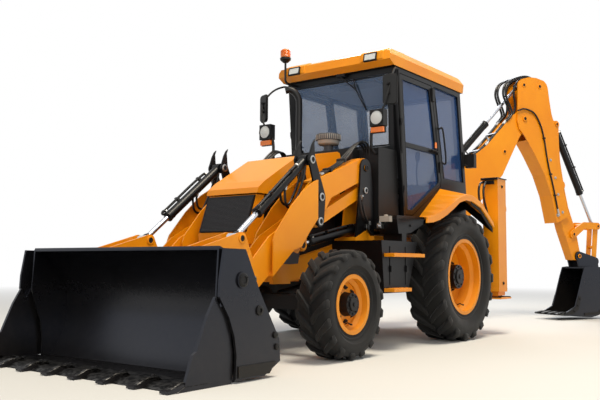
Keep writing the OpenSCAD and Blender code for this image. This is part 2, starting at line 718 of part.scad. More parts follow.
module loader_arms() color(orange) at_frame() {
    both_sides() {
        for (y = [arm_y - arm_out, arm_y + arm_in]) slab(y, arm_t) arm_plate();
        for (y = [arm_y - cheek_out, arm_y + cheek_in]) slab(y, arm_t) cheek_side();
        // pins that turn in the tower and lever plates
        for (p = [arm_pivot, lever_pivot])
            cross_bar(p, arm_y - lever_out - 6, arm_y + lever_out + 6, loader_pin_r);
        // top web of the rear half
        slab(arm_y - arm_in - 1, 2 * arm_in + 2) polygon([[1300, 1868], [1960, 1619], [2120, 1566],
            [2116, 1550], [1954, 1603], [1294, 1852]]);
        // lower web of the front half, and between its cores and cheeks
        slab(arm_y - arm_in - 1, 2 * arm_in + 2) polygon([[2440, 936], [2860, 604], [2870, 617],
            [2450, 949]]);
        for (y = [arm_y - cheek_in - 1, arm_y + arm_out - 1]) {
            slab(y, cheek_in - arm_out + 2) polygon([[2442, 936], [2728, 711], [2728, 727], [2452, 951]]);
            for (p = arm_spacers) cross_bar(p, y, y + cheek_in - arm_out + 2, 22);
        }
    }
    cross_bar(arm_tube, -arm_y + arm_out, arm_y - arm_out, 55);
}

module lever_plate() difference() {
    union() {
        link2d(lever_drop + lever_pivot, lever_pivot, 52, 66);
        link2d(lever_pivot, lever_top, 66, 50);
        polygon([lever_top + [-45, 0], lever_top + [45, 20], lever_top + [0, 130], lever_top + [-30, 140]]);
    }
    translate(lever_pivot) circle(loader_pin_r + pin_clear);
}

module tilt_levers() color(black) at_frame() both_sides() {
    for (y = [arm_y - lever_out, arm_y + lever_in]) slab(y, lever_t) lever_plate();
    for (p = [tie_front, lever_top]) cross_bar(p, arm_y - lever_out, arm_y + lever_out, loader_pin_r - 2);
}

tie_half_y = arm_in - side_gap;

module tie_links() color(orange) at_frame() both_sides() {
    difference() {
        slab(arm_y - tie_half_y, 2 * tie_half_y) link2d(tie_pivot, tie_front, 55, 55);
        cross_bar(tie_front, arm_y - 80, arm_y + 80, loader_pin_r + pin_clear - 2);
    }
    cross_bar(tie_pivot, arm_y - lever_out - 4, arm_y + lever_out + 4, loader_pin_r);
}

lift_r = 42;
tilt_r = 43;
rod_r = 25;
bore_foot = 30;
// how far each rod travels inwards from rest, with a little room
lift_in = 10;
tilt_in = 250;
boom_in = 95;
dipper_in = 760;
hoe_in = 290;

module ram_barrel(p, q, y, r, len, eye_half, pin_r, pin_half) {
    difference() {
        union() {
            round_bar(p, q, y, r, r * 0.7, len);
            round_bar(p, q, y, r * 1.07, len - 60, len);
            cross_bar(p, y - eye_half, y + eye_half, r * 1.15);
        }
        round_bar(p, q, y, rod_r + pin_clear, r + bore_foot, len + 1);
        if (pin_half == 0) cross_bar(p, y - 200, y + 200, pin_r + pin_clear);
    }
    if (pin_half > 0) cross_bar(p, y - pin_half, y + pin_half, pin_r);
}

module ram_rod(p, q, y, from, eye_half, eye_r) {
    d = norm(q - p);
    round_bar(p, q, y, rod_r, from, d - eye_r * 0.5);
    cross_bar(q, y - eye_half, y + eye_half, eye_r);
}

module lift_barrels() color(black) at_frame() both_sides()
    ram_barrel(lift_base, lift_eye, arm_y, lift_r, lift_barrel_len, arm_in - side_gap, loader_pin_r,
        lever_out + 4);

module lift_rods() color(steel) at_frame() both_sides()
    ram_rod(lift_base, lift_eye, arm_y, lift_r + bore_foot + lift_in, arm_in - side_gap, 46);

module tilt_barrels() color(black) at_frame() both_sides()
    ram_barrel(lever_top, bucket_ram_pin, arm_y, tilt_r, tilt_barrel_len, arm_in - side_gap,
        loader_pin_r - 2, 0);

module tilt_rods() color(steel) at_frame() both_sides()
    ram_rod(lever_top, bucket_ram_pin, arm_y, tilt_r + bore_foot + tilt_in, arm_in - side_gap, 46);

module bucket_pins() color(steel) at_frame() both_sides()
    cross_bar(bucket_hinge, arm_y - lever_out - 6, arm_y + lever_out + 6, loader_pin_r);

// bucket: orange brackets, the back with its side plates, and the jaw that opens
blade_c = [4020, 420];
blade_r = 520;
blade_t = 25;
bucket_plate = 20;
bucket_side = [[3446, 22], [3750, 22], [3744, 190], [3765, 315], [3822, 450], [3920, 590], [3915, 700],
    [3877, 915], [3660, 912], [3506, 618], [3285, 272], [3270, 111]];
jaw_side = [[3762, 0], [4200, 0], [4196, 42], [4129, 224], [4097, 244], [4000, 468], [3928, 590],
    [3830, 455], [3772, 315], [3752, 190]];

module bracket_plate() difference() {
    union() {
        link2d(bucket_hinge, bucket_ram_pin, 70, 52);
        polygon([bucket_hinge + [30, -65], [3400, 420], [3560, 640], [3660, 860], [3640, 912],
            bucket_ram_pin + [10, 50], bucket_ram_pin + [-30, -10]]);
    }
    translate(bucket_hinge) circle(loader_pin_r + pin_clear);
}

module bucket_brackets() color(orange) at_frame() both_sides() difference() {
    for (y = [arm_y - lever_out, arm_y + lever_in]) slab(y, lever_t) bracket_plate();
    cross_bar(blade_c, -bucket_half_y, bucket_half_y, blade_r + blade_t + seat_gap);
}

pocket = 85;
blade_half_y = bucket_half_y - pocket;

module bucket_back() color(black) at_frame() {
    slab(-blade_half_y, 2 * blade_half_y) {
        difference() {
            translate(blade_c) circle(blade_r + blade_t, $fn = 96);
            translate(blade_c) circle(blade_r, $fn = 96);
            polygon([blade_c, blade_c + 900 * [cos(110), sin(110)], blade_c + [1200, 900],
                blade_c + [1200, -900], blade_c + 900 * [cos(232), sin(232)]]);
        }
        polygon([[3690, 2], [3744, 2], [3744, 27], [3670, 27]]);
        // stiffening beam behind the top edge
        polygon([[3690, 870], [3842, 905], [3842, 918], [3680, 912]]);
    }
    both_sides() {
        slab(bucket_half_y - bucket_plate, bucket_plate) polygon(bucket_side);
        slab(blade_half_y - 15, 15) polygon([[3446, 22], [3744, 22], [3744, 190], [3765, 315],
            [3822, 450], [3860, 590], [3842, 912], [3660, 912], [3506, 618], [3300, 272], [3290, 111]]);
        // pocket walls at top and back
        slab(blade_half_y - 1, pocket) polygon([[3660, 912], [3790, 914], [3786, 899], [3664, 897]]);
        slab(blade_half_y - 1, pocket) polygon([[3290, 111], [3285, 272], [3506, 618], [3660, 912],
            [3675, 905], [3522, 612], [3302, 268], [3305, 111]]);
        cross_bar(jaw_pivot, blade_half_y - 1, bucket_half_y + 12, 32);
        cross_bar(jaw_pivot, bucket_half_y - 1, bucket_half_y + 12, 58);
    }
}

module jaw_plate() difference() {
    union() {
        polygon(jaw_side);
        link2d(jaw_pivot, [3840, 400], 62, 90);
    }
    translate(jaw_pivot) circle(32 + pin_clear);
}

module bucket_jaw() color(black) at_frame() {
    jaw_t = 24;
    y_out = bucket_half_y - bucket_plate - side_gap;
    both_sides() slab(y_out - jaw_t, jaw_t) jaw_plate();
    slab(-y_out, 2 * y_out) {
        polygon([[3762, 0], [4260, 0], [4200, 28], [3762, 28]]);
    }
    for (i = [0 : bucket_teeth - 1]) {
        y = -y_out + 40 + (2 * y_out - 80) * i / (bucket_teeth - 1);
        slab(y - 38, 76) polygon([[4150, 29], [4210, 52], [front_reach, 20], [front_reach, 6],
            [4240, 2], [4200, 2]]);
    }
}

// backhoe, drawn in the boom's own plane
carriage_half = 280;
carriage_z = [470, 1190];
post_z = [575, 1085];

module carriage() color(orange) at_frame() translate([0, carriage_y, 0]) difference() {
    back = beam_x - slide_clear;
    union() {
        // back plate, hooked over the top beam and under the low one
        slab(-carriage_half, 2 * carriage_half) polygon([[back - 55, carriage_z[0]],
            [beam_x + 40, carriage_z[0]], [beam_x + 40, low_beam[0] - slide_clear],
            [back, low_beam[0] - slide_clear], [back, top_beam[1] + slide_clear],
            [beam_x + 40, top_beam[1] + slide_clear], [beam_x + 40, carriage_z[1]], [back - 55, carriage_z[1]]]);
        for (z = [[post_z[0] - 75, post_z[0] - 4], [post_z[1] + 4, post_z[1] + 75]])
            translate([0, 0, z[0]]) {
                translate([slew_x, 0, 0]) cylinder(r = 105, h = z[1] - z[0]);
                translate([slew_x, -105, 0]) cube([beam_x - 30 - slew_x, 210, z[1] - z[0]]);
            }
    }
    translate([slew_x, 0, 300]) cylinder(r = slew_pin_r + pin_clear, h = 1200);
}

ear_t = 32;

module kingpost() color(orange) at_hoe() {
    translate([0, 0, post_z[0]]) cylinder(r = 88, h = post_z[1] - post_z[0]);
    translate([0, 0, post_z[0] - 80]) cylinder(r = slew_pin_r, h = post_z[1] - post_z[0] + 160);
    slab(-post_half_y, 2 * post_half_y) polygon(concat([[0, 600], [180, 600]],
        arc(boom_foot, 100, -60, 90, 6), [[180, 880], [0, 900]]));
    for (y = [-post_half_y, post_half_y - ear_t]) slab(y, ear_t)
        polygon(concat([[20, 860], [300, 840]], arc(boom_ram_post, 62, -30, 120, 6), [[60, 1040]]));
    cross_bar(boom_foot, -boom_half_y - 8, boom_half_y + 8, 38);
}

boom_side = concat(arc(boom_foot, 115, 190, 330, 6), [[800, 1250], [1220, 1720], [1640, 2120],
    [1990, 2720]], arc(boom_tip, 140, -45, 120, 6), [[1860, 3030], [1340, 2530], [900, 2240],
    [620, 2210], [520, 2080], [300, 1500]]);

module boom_plate() difference() {
    polygon(boom_side);
    translate(boom_foot) circle(38 + pin_clear);
    translate(boom_tip) circle(35 + pin_clear);
    translate(dipper_ram_base) circle(28 + pin_clear);
    translate(boom_ram_base) circle(28 + pin_clear);
}

module boom() color(orange) at_hoe() {
    for (y = [-boom_half_y, boom_half_y - boom_t]) slab(y, boom_t) boom_plate();
    inner = boom_half_y - boom_t + 1;
    slab(-inner, 2 * inner) {
        // underside and top webs of the upper half
        polygon([[796, 1254], [1216, 1725], [1635, 2124], [1845, 2482], [1831, 2490], [1622, 2137],
            [1204, 1737], [782, 1266]]);
        polygon([[1752, 2920], [1342, 2526], [1052, 2327], [1060, 2313], [1352, 2512], [1764, 2908]]);
    }
}

boom_ram_r = 55;
boom_barrel_len = 755;

module boom_barrel() color(black) at_hoe()
    ram_barrel(boom_ram_base, boom_ram_post, 0, boom_ram_r, boom_barrel_len, 60, 28, boom_half_y + 6);

module boom_rod() color(steel) at_hoe()
    ram_rod(boom_ram_base, boom_ram_post, 0, boom_ram_r + bore_foot + boom_in, post_half_y - ear_t - 6, 50);

// dipper: two plates round the boom's tip and the sliding box, joined by webs
dipper_side = [[1960, 2830], [2060, 2740], [2263, 2467], [2450, 2180], [2588, 1866], [2690, 1455],
    [2955, 1565], [2925, 1620], [2845, 1953], [2765, 2376], [2765, 2731], [2622, 3120], [2587, 3304],
    [2556, 3510], [2530, 3570], [2476, 3612], [2319, 3640], [2183, 3635], [2030, 3590], [1965, 3540],
    [1949, 3490], [1935, 3100], [1925, 2950]];
// the edge the lower web runs along, from top to bottom
leaf_edge = [[2110, 2673], [2263, 2467], [2450, 2180], [2588, 1866], [2690, 1455]];
web_t = 16;
slide_dir = unit([270, -963]);
dipper_ram_r = 50;
hoe_ram_r = 48;

module dipper() color(orange) at_hoe() {
    inside = dipper_half_y - dipper_t;
    for (y = [-dipper_half_y, inside]) slab(y, dipper_t) polygon(dipper_side);
    cross_bar(boom_tip, -dipper_half_y - 8, dipper_half_y + 8, 35);
    slab(-inside - 1, 2 * inside + 2) {
        polygon(concat(leaf_edge, [for (q = flip(leaf_edge)) q + [web_t, 6]]));
        // top of the head, behind the cylinder's eye
        polygon([[2260, 3637], [2319, 3640], [2476, 3612], [2530, 3570], [2556, 3510], [2587, 3304],
            [2572, 3301], [2541, 3504], [2519, 3558], [2470, 3597], [2318, 3624], [2260, 3621]]);
        // block between head and slide, clear of the boom
        polygon([[2330, 3240], [2570, 3240], [2585, 3160], [2330, 3160]]);
    }
    // wear pads either side of the slide
    for (along = [500, 1150], y = [-inside - 1, slide_half_y + slide_clear])
        slab(y, inside + 1 - slide_half_y - slide_clear)
            translate(hoe_hinge - slide_dir * (along + 620) - [40, 0]) circle(70);
}

// the part of the dipper that slides, carrying the bucket and its cylinder
slide_edge = 128;

module dipper_slide() color(orange) at_hoe() {
    top_left = hoe_hinge - slide_dir * 2060 - [190, 40];
    difference() {
        slab(-slide_half_y, 2 * slide_half_y) union() {
            polygon([top_left, hoe_hinge - slide_dir * 420 - [slide_edge * 1.47, 0], hoe_hinge + [-100, -60],
                hoe_hinge + [40, -50], hoe_hinge + [62, 10], [3205, 1044], [3159, 1244], [3077, 1477],
                [2985, 1700], [2920, 1958], [2838, 2381], [2815, 2731], [2820, 2940], [2740, 3030],
                [2640, 3040]]);
            translate(hoe_hinge) circle(62);
            translate(hoe_ram_base) circle(58);
            translate(hoe_lever_pin) circle(60);
        }
        // hollow inside
        slab(-slide_half_y + 12, 2 * slide_half_y - 24) polygon([[2500, 2860], [2890, 1500], [3060, 1090],
            [3110, 1110], [3010, 1500], [2880, 1940], [2780, 2380], [2760, 2700], [2700, 2850]]);
        // slot for the cylinder's foot
        slab(-hoe_ram_r - side_gap, 2 * (hoe_ram_r + side_gap)) polygon([[2690, 2880], [2760, 2800],
            [2786, 2690], [2950, 2690], [2950, 3100], [2690, 3100]]);
        cross_bar(hoe_ram_base, -slide_half_y - 1, slide_half_y + 1, 28 + pin_clear);
    }
    cross_bar(hoe_hinge, -hoe_ear_out - 6, hoe_ear_out + 6, 28);
    cross_bar(hoe_lever_pin, -hoe_ear_out - 6, hoe_ear_out + 6, 28);
}

module dipper_barrel() color(black) at_hoe()
    ram_barrel(dipper_ram_base, dipper_head, 0, dipper_ram_r, 1060, 60, 28, boom_half_y + 6);

module dipper_rod() color(steel) at_hoe()
    ram_rod(dipper_ram_base, dipper_head, 0, dipper_ram_r + bore_foot + dipper_in, 38, 48);

module hoe_barrel() color(black) at_hoe()
    ram_barrel(hoe_ram_base, hoe_rod_eye, 0, hoe_ram_r, 1180, 38, 28, slide_half_y + 8);

module hoe_rod() color(steel) at_hoe() ram_rod(hoe_ram_base, hoe_rod_eye, 0, hoe_ram_r + bore_foot + hoe_in, 30, 44);

// plates beside the slide: levers and bucket ears
hoe_ear_t = 22;
hoe_ear_in = slide_half_y + side_gap;
hoe_ear_out = hoe_ear_in + hoe_ear_t;

module hoe_lever() color(orange) at_hoe() {
    crown = [(hoe_lever_pin.x + hoe_rod_eye.x) / 2 - 30, hoe_rod_eye.y + 5];
    for (y = [-hoe_ear_out, hoe_ear_in]) difference() {
        slab(y, hoe_ear_t) union() {
            link2d(hoe_lever_pin, crown, 62, 50);
            link2d(crown, hoe_rod_eye, 50, 55);
        }
        cross_bar(hoe_lever_pin, y - 5, y + hoe_ear_t + 5, 28 + pin_clear);
    }
    cross_bar(crown, -hoe_ear_in - 1, hoe_ear_in + 1, 26);
    // pin for the link, either side of the rod's eye
    for (y = [-hoe_ear_out, 43]) cross_bar(hoe_rod_eye, y, y + hoe_ear_out - 43, 26);
}

link_in = 46;
link_t = 20;

module hoe_link() color(orange) at_hoe() {
    for (y = [-link_in - link_t, link_in]) difference() {
        slab(y, link_t) link2d(hoe_rod_eye, hoe_link_pin, 46, 42);
        cross_bar(hoe_rod_eye, y - 5, y + link_t + 5, 26 + pin_clear);
    }
    mid = (hoe_rod_eye * 0.4 + hoe_link_pin * 0.6);
    cross_bar(mid, -link_in - 1, link_in + 1, 24);
    cross_bar(hoe_link_pin, -link_in - 1, link_in + 1, 24);
}

// hoe bucket: two cheeks, a curved shell, ears and teeth
hoe_cheek = [[2660, 88], [2915, 197], [2985, 370], [3090, 660], [3145, 790], [3240, 800], [3585, 790],
    [3670, 640], [3695, 470], [3660, 300], [3560, 150], [3420, 60], [3250, 30], [3000, 45]];
hoe_shell = [[3145, 790], [3300, 780], [3430, 736], [3610, 736], [3670, 640], [3695, 470], [3660, 300],
    [3560, 150], [3420, 60], [3250, 30], [3000, 45], [2660, 88]];
hoe_shell_in = [for (q = hoe_shell) q + unit([3290, 430] - q) * 22];
cheek_t = 18;

module hoe_bucket() color(black) at_hoe() {
    half = hoe_bucket_w / 2;
    for (y = [-half, half - cheek_t]) slab(y, cheek_t) polygon(flip(hoe_cheek));
    slab(-half + 1, 2 * half - 2) polygon(concat(hoe_shell, flip(hoe_shell_in)));
    for (y = [-hoe_ear_out, hoe_ear_in]) difference() {
        slab(y, hoe_ear_t) union() {
            link2d(hoe_hinge, hoe_link_pin, 72, 60);
            polygon([hoe_hinge + [-40, -55], hoe_hinge + [-5, -171], [3300, 776], [3430, 732], [3590, 732],
                hoe_link_pin + [40, 0]]);
        }
        cross_bar(hoe_hinge, y - 5, y + hoe_ear_t + 5, 28 + pin_clear);
    }
    // teeth
    for (i = [0 : hoe_teeth - 1]) {
        y = -half + 35 + (2 * half - 70) * i / (hoe_teeth - 1);
        slab(y - 28, 56) polygon([[2790, 66], [2560, 84], [2540, 96], [2560, 104], [2680, 120], [2790, 108]]);
    }
}

chassis_frame();
engine();
front_axle();
rear_axle();
nose();
grille();
scuttle();
side_tanks();
fenders();
cab_frame();
cab_roof();
cab_glass();
seat();
console();
cab_lamps();
mirrors();
exhaust();
precleaner();
rear_frame();
bonnet();
door_left();
door_right();
knuckle_left();
knuckle_right();
tyre_front_left();
tyre_front_right();
tyre_rear_left();
tyre_rear_right();
rim_front_left();
rim_front_right();
rim_rear_left();
rim_rear_right();
loader_arms();
tilt_levers();
tie_links();
lift_barrels();
lift_rods();
tilt_barrels();
tilt_rods();
bucket_pins();
bucket_brackets();
bucket_back();
bucket_jaw();
stabiliser_left();
stabiliser_right();
carriage();
kingpost();
boom();
boom_barrel();
boom_rod();
dipper();
dipper_barrel();
dipper_rod();
dipper_slide();
hoe_barrel();
hoe_rod();
hoe_lever();
hoe_link();
hoe_bucket();
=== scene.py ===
import json
import math

import bmesh
import bpy
from bpy.props import FloatProperty, FloatVectorProperty, IntProperty, PointerProperty
from mathutils import Matrix, Vector


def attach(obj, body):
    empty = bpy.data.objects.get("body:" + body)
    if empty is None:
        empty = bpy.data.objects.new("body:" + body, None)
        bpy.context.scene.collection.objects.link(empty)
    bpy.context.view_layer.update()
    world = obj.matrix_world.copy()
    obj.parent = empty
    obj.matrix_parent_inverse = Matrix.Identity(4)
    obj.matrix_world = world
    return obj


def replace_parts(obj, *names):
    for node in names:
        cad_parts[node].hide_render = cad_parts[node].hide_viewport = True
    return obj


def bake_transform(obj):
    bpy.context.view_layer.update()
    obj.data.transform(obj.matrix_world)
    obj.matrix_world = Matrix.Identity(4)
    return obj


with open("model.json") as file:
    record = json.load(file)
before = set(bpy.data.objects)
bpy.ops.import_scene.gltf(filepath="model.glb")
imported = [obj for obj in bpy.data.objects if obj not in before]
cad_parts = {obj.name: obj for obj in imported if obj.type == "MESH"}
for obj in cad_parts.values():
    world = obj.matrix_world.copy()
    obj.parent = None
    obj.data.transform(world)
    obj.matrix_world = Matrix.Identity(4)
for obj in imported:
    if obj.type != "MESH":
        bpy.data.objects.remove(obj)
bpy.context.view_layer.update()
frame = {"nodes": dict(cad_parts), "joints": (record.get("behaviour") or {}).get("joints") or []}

bl_info = {
    "name": "Backhoe Loader Dressing",
    "version": (1, 0, 0),
    "blender": (4, 5, 0),
    "location": "View3D > Sidebar > Loader",
    "description": "Finishes and fittings of a backhoe loader over its packed frame",
    "category": "Object",
}

JOINTS = {joint["name"]: joint for joint in frame["joints"]}
X, Y, Z = Vector((1, 0, 0)), Vector((0, 1, 0)), Vector((0, 0, 1))
SIDES = (("left", 1), ("right", -1))


# Places. Lengths are metres, measured as the part's source does: from the ground under the middle
# of the rear axle, or for the hoe, from the slew pin outwards in the boom's own plane.

def joint_place(name):
    return Vector(JOINTS[name]["pos_m"])


REAR_LEFT, REAR_RIGHT = joint_place("spin_rear_left"), joint_place("spin_rear_right")
MIDDLE = Vector((REAR_LEFT.x, (REAR_LEFT.y + REAR_RIGHT.y) / 2, 0))
SLEW = Vector((joint_place("slew").x, joint_place("slew").y, 0))
HOE_SIDE = Vector(JOINTS["boom_hinge"]["axis"]).normalized()
HOE_OUT = HOE_SIDE.cross(Z).normalized()


def at(x, y, z):
    """A place on the machine."""
    return MIDDLE + Vector((x, y, z))


def hoe(r, z, side=0.0):
    """A place on the hoe: r out from the slew pin, z up, side across the boom."""
    return SLEW + HOE_OUT * r + HOE_SIDE * side + Z * z


def on_side(side, points):
    """Places on the machine from x, y and z, with y counted outwards on that side."""
    return [at(x, side * y, z) for x, y, z in points]


def flat(y, points):
    """Places on the machine from x and z, all in the upright plane at y."""
    return [at(x, y, z) for x, z in points]


def on_hoe(side, points):
    """Places on the hoe from r and z, all at the same distance across the boom."""
    return [hoe(r, z, side) for r, z in points]


def towards(direction, way):
    """The direction or its opposite, whichever points along the way."""
    return direction if direction.dot(way) > 0 else -direction


def smooth_path(points, steps=6):
    """A curve through the points that turns evenly at each."""
    ends = [points[0] * 2 - points[1]] + list(points) + [points[-1] * 2 - points[-2]]
    path = []
    for i in range(1, len(ends) - 2):
        a, b, c, d = ends[i - 1:i + 3]
        for k in range(steps):
            t = k / steps
            path.append(((b * 2) + (c - a) * t + (a * 2 - b * 5 + c * 4 - d) * t * t
                         + (b * 3 - a - c * 3 + d) * t ** 3) / 2)
    return path + [points[-1]]


def circle(centre, out, side, radius, steps):
    """Places round a circle, from two directions square to its axis."""
    turns = (2 * math.pi * i / steps for i in range(steps))
    return [centre + (out * math.cos(a) + side * math.sin(a)) * radius for a in turns]


# Mesh building

class Solid:
    """Closed shapes gathered in one mesh, each in one of the finishes that the solid is made with."""

    def __init__(self, *finishes):
        self.mesh = bmesh.new()
        self.finishes = finishes
        self.material = 0

    def use(self, finish):
        """The finish of the shapes that are added from here on."""
        self.material = self.finishes.index(finish)

    def _done(self, faces):
        faces = list(faces)
        for face in faces:
            face.material_index = self.material
        bmesh.ops.recalc_face_normals(self.mesh, faces=faces)
        return self

    def lofted(self, outlines):
        """A skin over outlines with the same number of corners, closed at both ends."""
        rings = [[self.mesh.verts.new(place) for place in outline] for outline in outlines]
        faces = [self.mesh.faces.new(rings[0]), self.mesh.faces.new(rings[-1])]
        for a, b in zip(rings, rings[1:]):
            for i in range(len(a)):
                j = (i + 1) % len(a)
                faces.append(self.mesh.faces.new((a[i], a[j], b[j], b[i])))
        return self._done(faces)

    def plate(self, outline, thickness):
        """A flat outline, thickened by a vector."""
        return self.lofted([outline, [place + thickness for place in outline]])

    def block(self, corner, along, across, up):
        """A block from a corner and its three edges."""
        return self.plate([corner, corner + along, corner + along + across, corner + across], up)

    def box(self, low, high):
        """An upright block between two corners."""
        size = high - low
        return self.block(low, X * size.x, Y * size.y, Z * size.z)

    def pad(self, side, low, high):
        """An upright block on one side of the machine, between two corners as x, y outwards and z."""
        y_low, y_high = sorted((side * low[1], side * high[1]))
        return self.box(at(low[0], y_low, low[2]), at(high[0], y_high, high[2]))

    def turned(self, profile, centre, axis, steps=24, closed=False):
        """A profile of (radius, place along the axis) turned about the axis."""
        axis = axis.normalized()
        out = axis.orthogonal().normalized()
        side = axis.cross(out)
        rings = []
        for radius, along in profile:
            middle = centre + axis * along
            # a profile that starts or ends on the axis closes in one corner
            places = circle(middle, out, side, radius, steps) if radius else [middle]
            rings.append([self.mesh.verts.new(place) for place in places])
        pairs = list(zip(rings, rings[1:]))
        if closed:
            pairs.append((rings[-1], rings[0]))
        faces = []
        for a, b in pairs:
            for i in range(steps):
                j = (i + 1) % steps
                corners = [a[i % len(a)], a[j % len(a)], b[j % len(b)], b[i % len(b)]]
                corners = [v for n, v in enumerate(corners) if v not in corners[:n]]
                if len(corners) > 2:
                    faces.append(self.mesh.faces.new(corners))
        if not closed:
            for ring in (rings[0], rings[-1]):
                if len(ring) > 2:
                    faces.append(self.mesh.faces.new(ring))
        return self._done(faces)

    def bar(self, start, end, radius, steps=16):
        """A round bar."""
        return self.turned([(radius, 0), (radius, (end - start).length)], start, end - start, steps)

    def tube(self, path, radius, steps=10):
        """A round tube or hose along a path."""
        outlines = []
        out = (path[1] - path[0]).orthogonal().normalized()
        for i, point in enumerate(path):
            ahead = (path[min(i + 1, len(path) - 1)] - path[max(i - 1, 0)]).normalized()
            out = (out - ahead * out.dot(ahead)).normalized()
            outlines.append(circle(point, out, ahead.cross(out), radius, steps))
        return self.lofted(outlines)

    def hose(self, points, radius, steps=10):
        """A tube along a smooth curve through the points."""
        return self.tube(smooth_path(points), radius, steps)

    def seal(self, corners, radius):
        """A closed loop of thin tube round the corners of a window."""
        return self.tube(corners + corners[:2], radius, 8)

    def hexagon(self, centre, axis, radius, height):
        """A bolt head with its washer, standing on a face."""
        self.turned([(radius * 1.45, 0), (radius * 1.45, height * 0.25)], centre, axis, 14)
        return self.turned([(radius, height * 0.2), (radius, height * 0.9), (radius * 0.86, height)],
                           centre, axis, 6)


def smooth(mesh, angle=35):
    """Smooth shading that keeps the edges sharper than an angle in degrees."""
    mesh.polygons.foreach_set("use_smooth", [True] * len(mesh.polygons))
    mesh.set_sharp_from_angle(angle=math.radians(angle))
    mesh.update()


def made(solid, name, bevel=0.0):
    """Turns a solid into an object."""
    mesh = bpy.data.meshes.new(name)
    solid.mesh.to_mesh(mesh)
    solid.mesh.free()
    for finish_name in solid.finishes:
        mesh.materials.append(FINISH[finish_name])
    obj = bpy.data.objects.new(name, mesh)
    bpy.context.scene.collection.objects.link(obj)
    smooth(mesh)
    if bevel:
        edge = obj.modifiers.new("edges", "BEVEL")
        edge.width = bevel
        edge.segments = 2
        edge.limit_method = "ANGLE"
        edge.angle_limit = math.radians(40)
        edge.harden_normals = True
    return obj


def piece(solid, name, body, bevel=0.0):
    """A piece of the machine that rides on a body."""
    obj = made(solid, name, bevel)
    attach(obj, body)
    return obj


def bent(solid, name):
    """A hose that crosses the joint of two bodies, made with its transform baked in and left on neither body.
    """
    obj = made(solid, name)
    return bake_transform(obj)


# Geometry Nodes

def add(tree, kind, values=None, feeds=None, **settings):
    """Adds a node with its settings, its inputs as values, hex colours or links, and what it feeds."""
    node = tree.nodes.new(kind)
    for name, value in settings.items():
        setattr(node, name, value)
    for name, value in (values or {}).items():
        if isinstance(value, bpy.types.NodeSocket):
            tree.links.new(value, node.inputs[name])
        else:
            node.inputs[name].default_value = linear(value) if isinstance(value, str) else value
    if feeds is not None:
        tree.links.new(node.outputs[0], feeds)
    return node


def copies_tree():
    """Copies of a shape, each stepped along and turned about a centre from the one before."""
    tree = bpy.data.node_groups.new("copies", "GeometryNodeTree")
    sockets = (("Geometry", "Geometry"), ("Count", "Int"), ("Step", "Vector"), ("Turn", "Float"),
               ("Axis", "Vector"), ("Centre", "Vector"), ("Finish", "Material"))
    for name, kind in sockets:
        tree.interface.new_socket(name, in_out="INPUT", socket_type="NodeSocket" + kind)
    tree.interface.new_socket("Geometry", in_out="OUTPUT", socket_type="NodeSocketGeometry")
    given = add(tree, "NodeGroupInput").outputs
    back = add(tree, "ShaderNodeVectorMath", {0: given["Centre"], "Scale": -1.0}, operation="SCALE")
    shape = add(tree, "GeometryNodeTransform",
                {"Geometry": given["Geometry"], "Translation": back.outputs[0]})
    line = add(tree, "GeometryNodeMeshLine",
               {"Count": given["Count"], "Start Location": given["Centre"], "Offset": given["Step"]})
    index = add(tree, "GeometryNodeInputIndex")
    angle = add(tree, "ShaderNodeMath", {0: index.outputs[0], 1: given["Turn"]}, operation="MULTIPLY")
    turn = add(tree, "FunctionNodeAxisAngleToRotation",
               {"Axis": given["Axis"], "Angle": angle.outputs[0]})
    put = add(tree, "GeometryNodeInstanceOnPoints",
              {"Points": line.outputs[0], "Instance": shape.outputs[0], "Rotation": turn.outputs[0]})
    real = add(tree, "GeometryNodeRealizeInstances", {"Geometry": put.outputs[0]})
    painted = add(tree, "GeometryNodeSetMaterial",
                  {"Geometry": real.outputs[0], "Material": given["Finish"]})
    add(tree, "NodeGroupOutput", {"Geometry": painted.outputs[0]})
    return tree


def applied(obj, tree, **values):
    """Runs a node tree on an object and keeps the plain mesh that comes out."""
    run = obj.modifiers.new(tree.name, "NODES")
    run.node_group = tree
    for item in tree.interface.items_tree:
        if item.in_out == "INPUT" and item.name in values:
            run[item.identifier] = values[item.name]
    finish = obj.data.materials[0]
    depsgraph = bpy.context.evaluated_depsgraph_get()
    mesh = bpy.data.meshes.new_from_object(obj.evaluated_get(depsgraph))
    obj.modifiers.remove(run)
    obj.data = mesh
    if mesh.materials[:] != [finish]:
        mesh.materials.clear()
        mesh.materials.append(finish)
        mesh.polygons.foreach_set("material_index", [0] * len(mesh.polygons))
    smooth(mesh)
    return obj


def repeated(solid, name, body, count, step=(0, 0, 0), turn=0.0, axis=(0, 1, 0),
             centre=(0, 0, 0), rows=None, bevel=0.0):
    """A piece made of copies of one shape; rows is (count, step) of a second direction."""
    obj = made(solid, name, bevel)
    edge = obj.modifiers.get("edges")
    if edge:
        depsgraph = bpy.context.evaluated_depsgraph_get()
        obj.data = bpy.data.meshes.new_from_object(obj.evaluated_get(depsgraph))
        obj.modifiers.remove(edge)
    tree = bpy.data.node_groups.get("copies") or copies_tree()
    runs = [(count, step, turn)] + ([(rows[0], rows[1], 0.0)] if rows else [])
    for n, by, angle in runs:
        applied(obj, tree, Count=n, Step=tuple(by), Turn=angle, Axis=tuple(axis),
                Centre=tuple(centre), Finish=FINISH[solid.finishes[0]])
    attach(obj, body)
    return obj


# Finishes

def linear(code):
    """An sRGB hex colour as linear red, green, blue and full opacity."""
    parts = [int(code[i:i + 2], 16) / 255 for i in (1, 3, 5)]
    return tuple(p / 12.92 if p <= 0.04045 else ((p + 0.055) / 1.055) ** 2.4 for p in parts) + (1.0,)


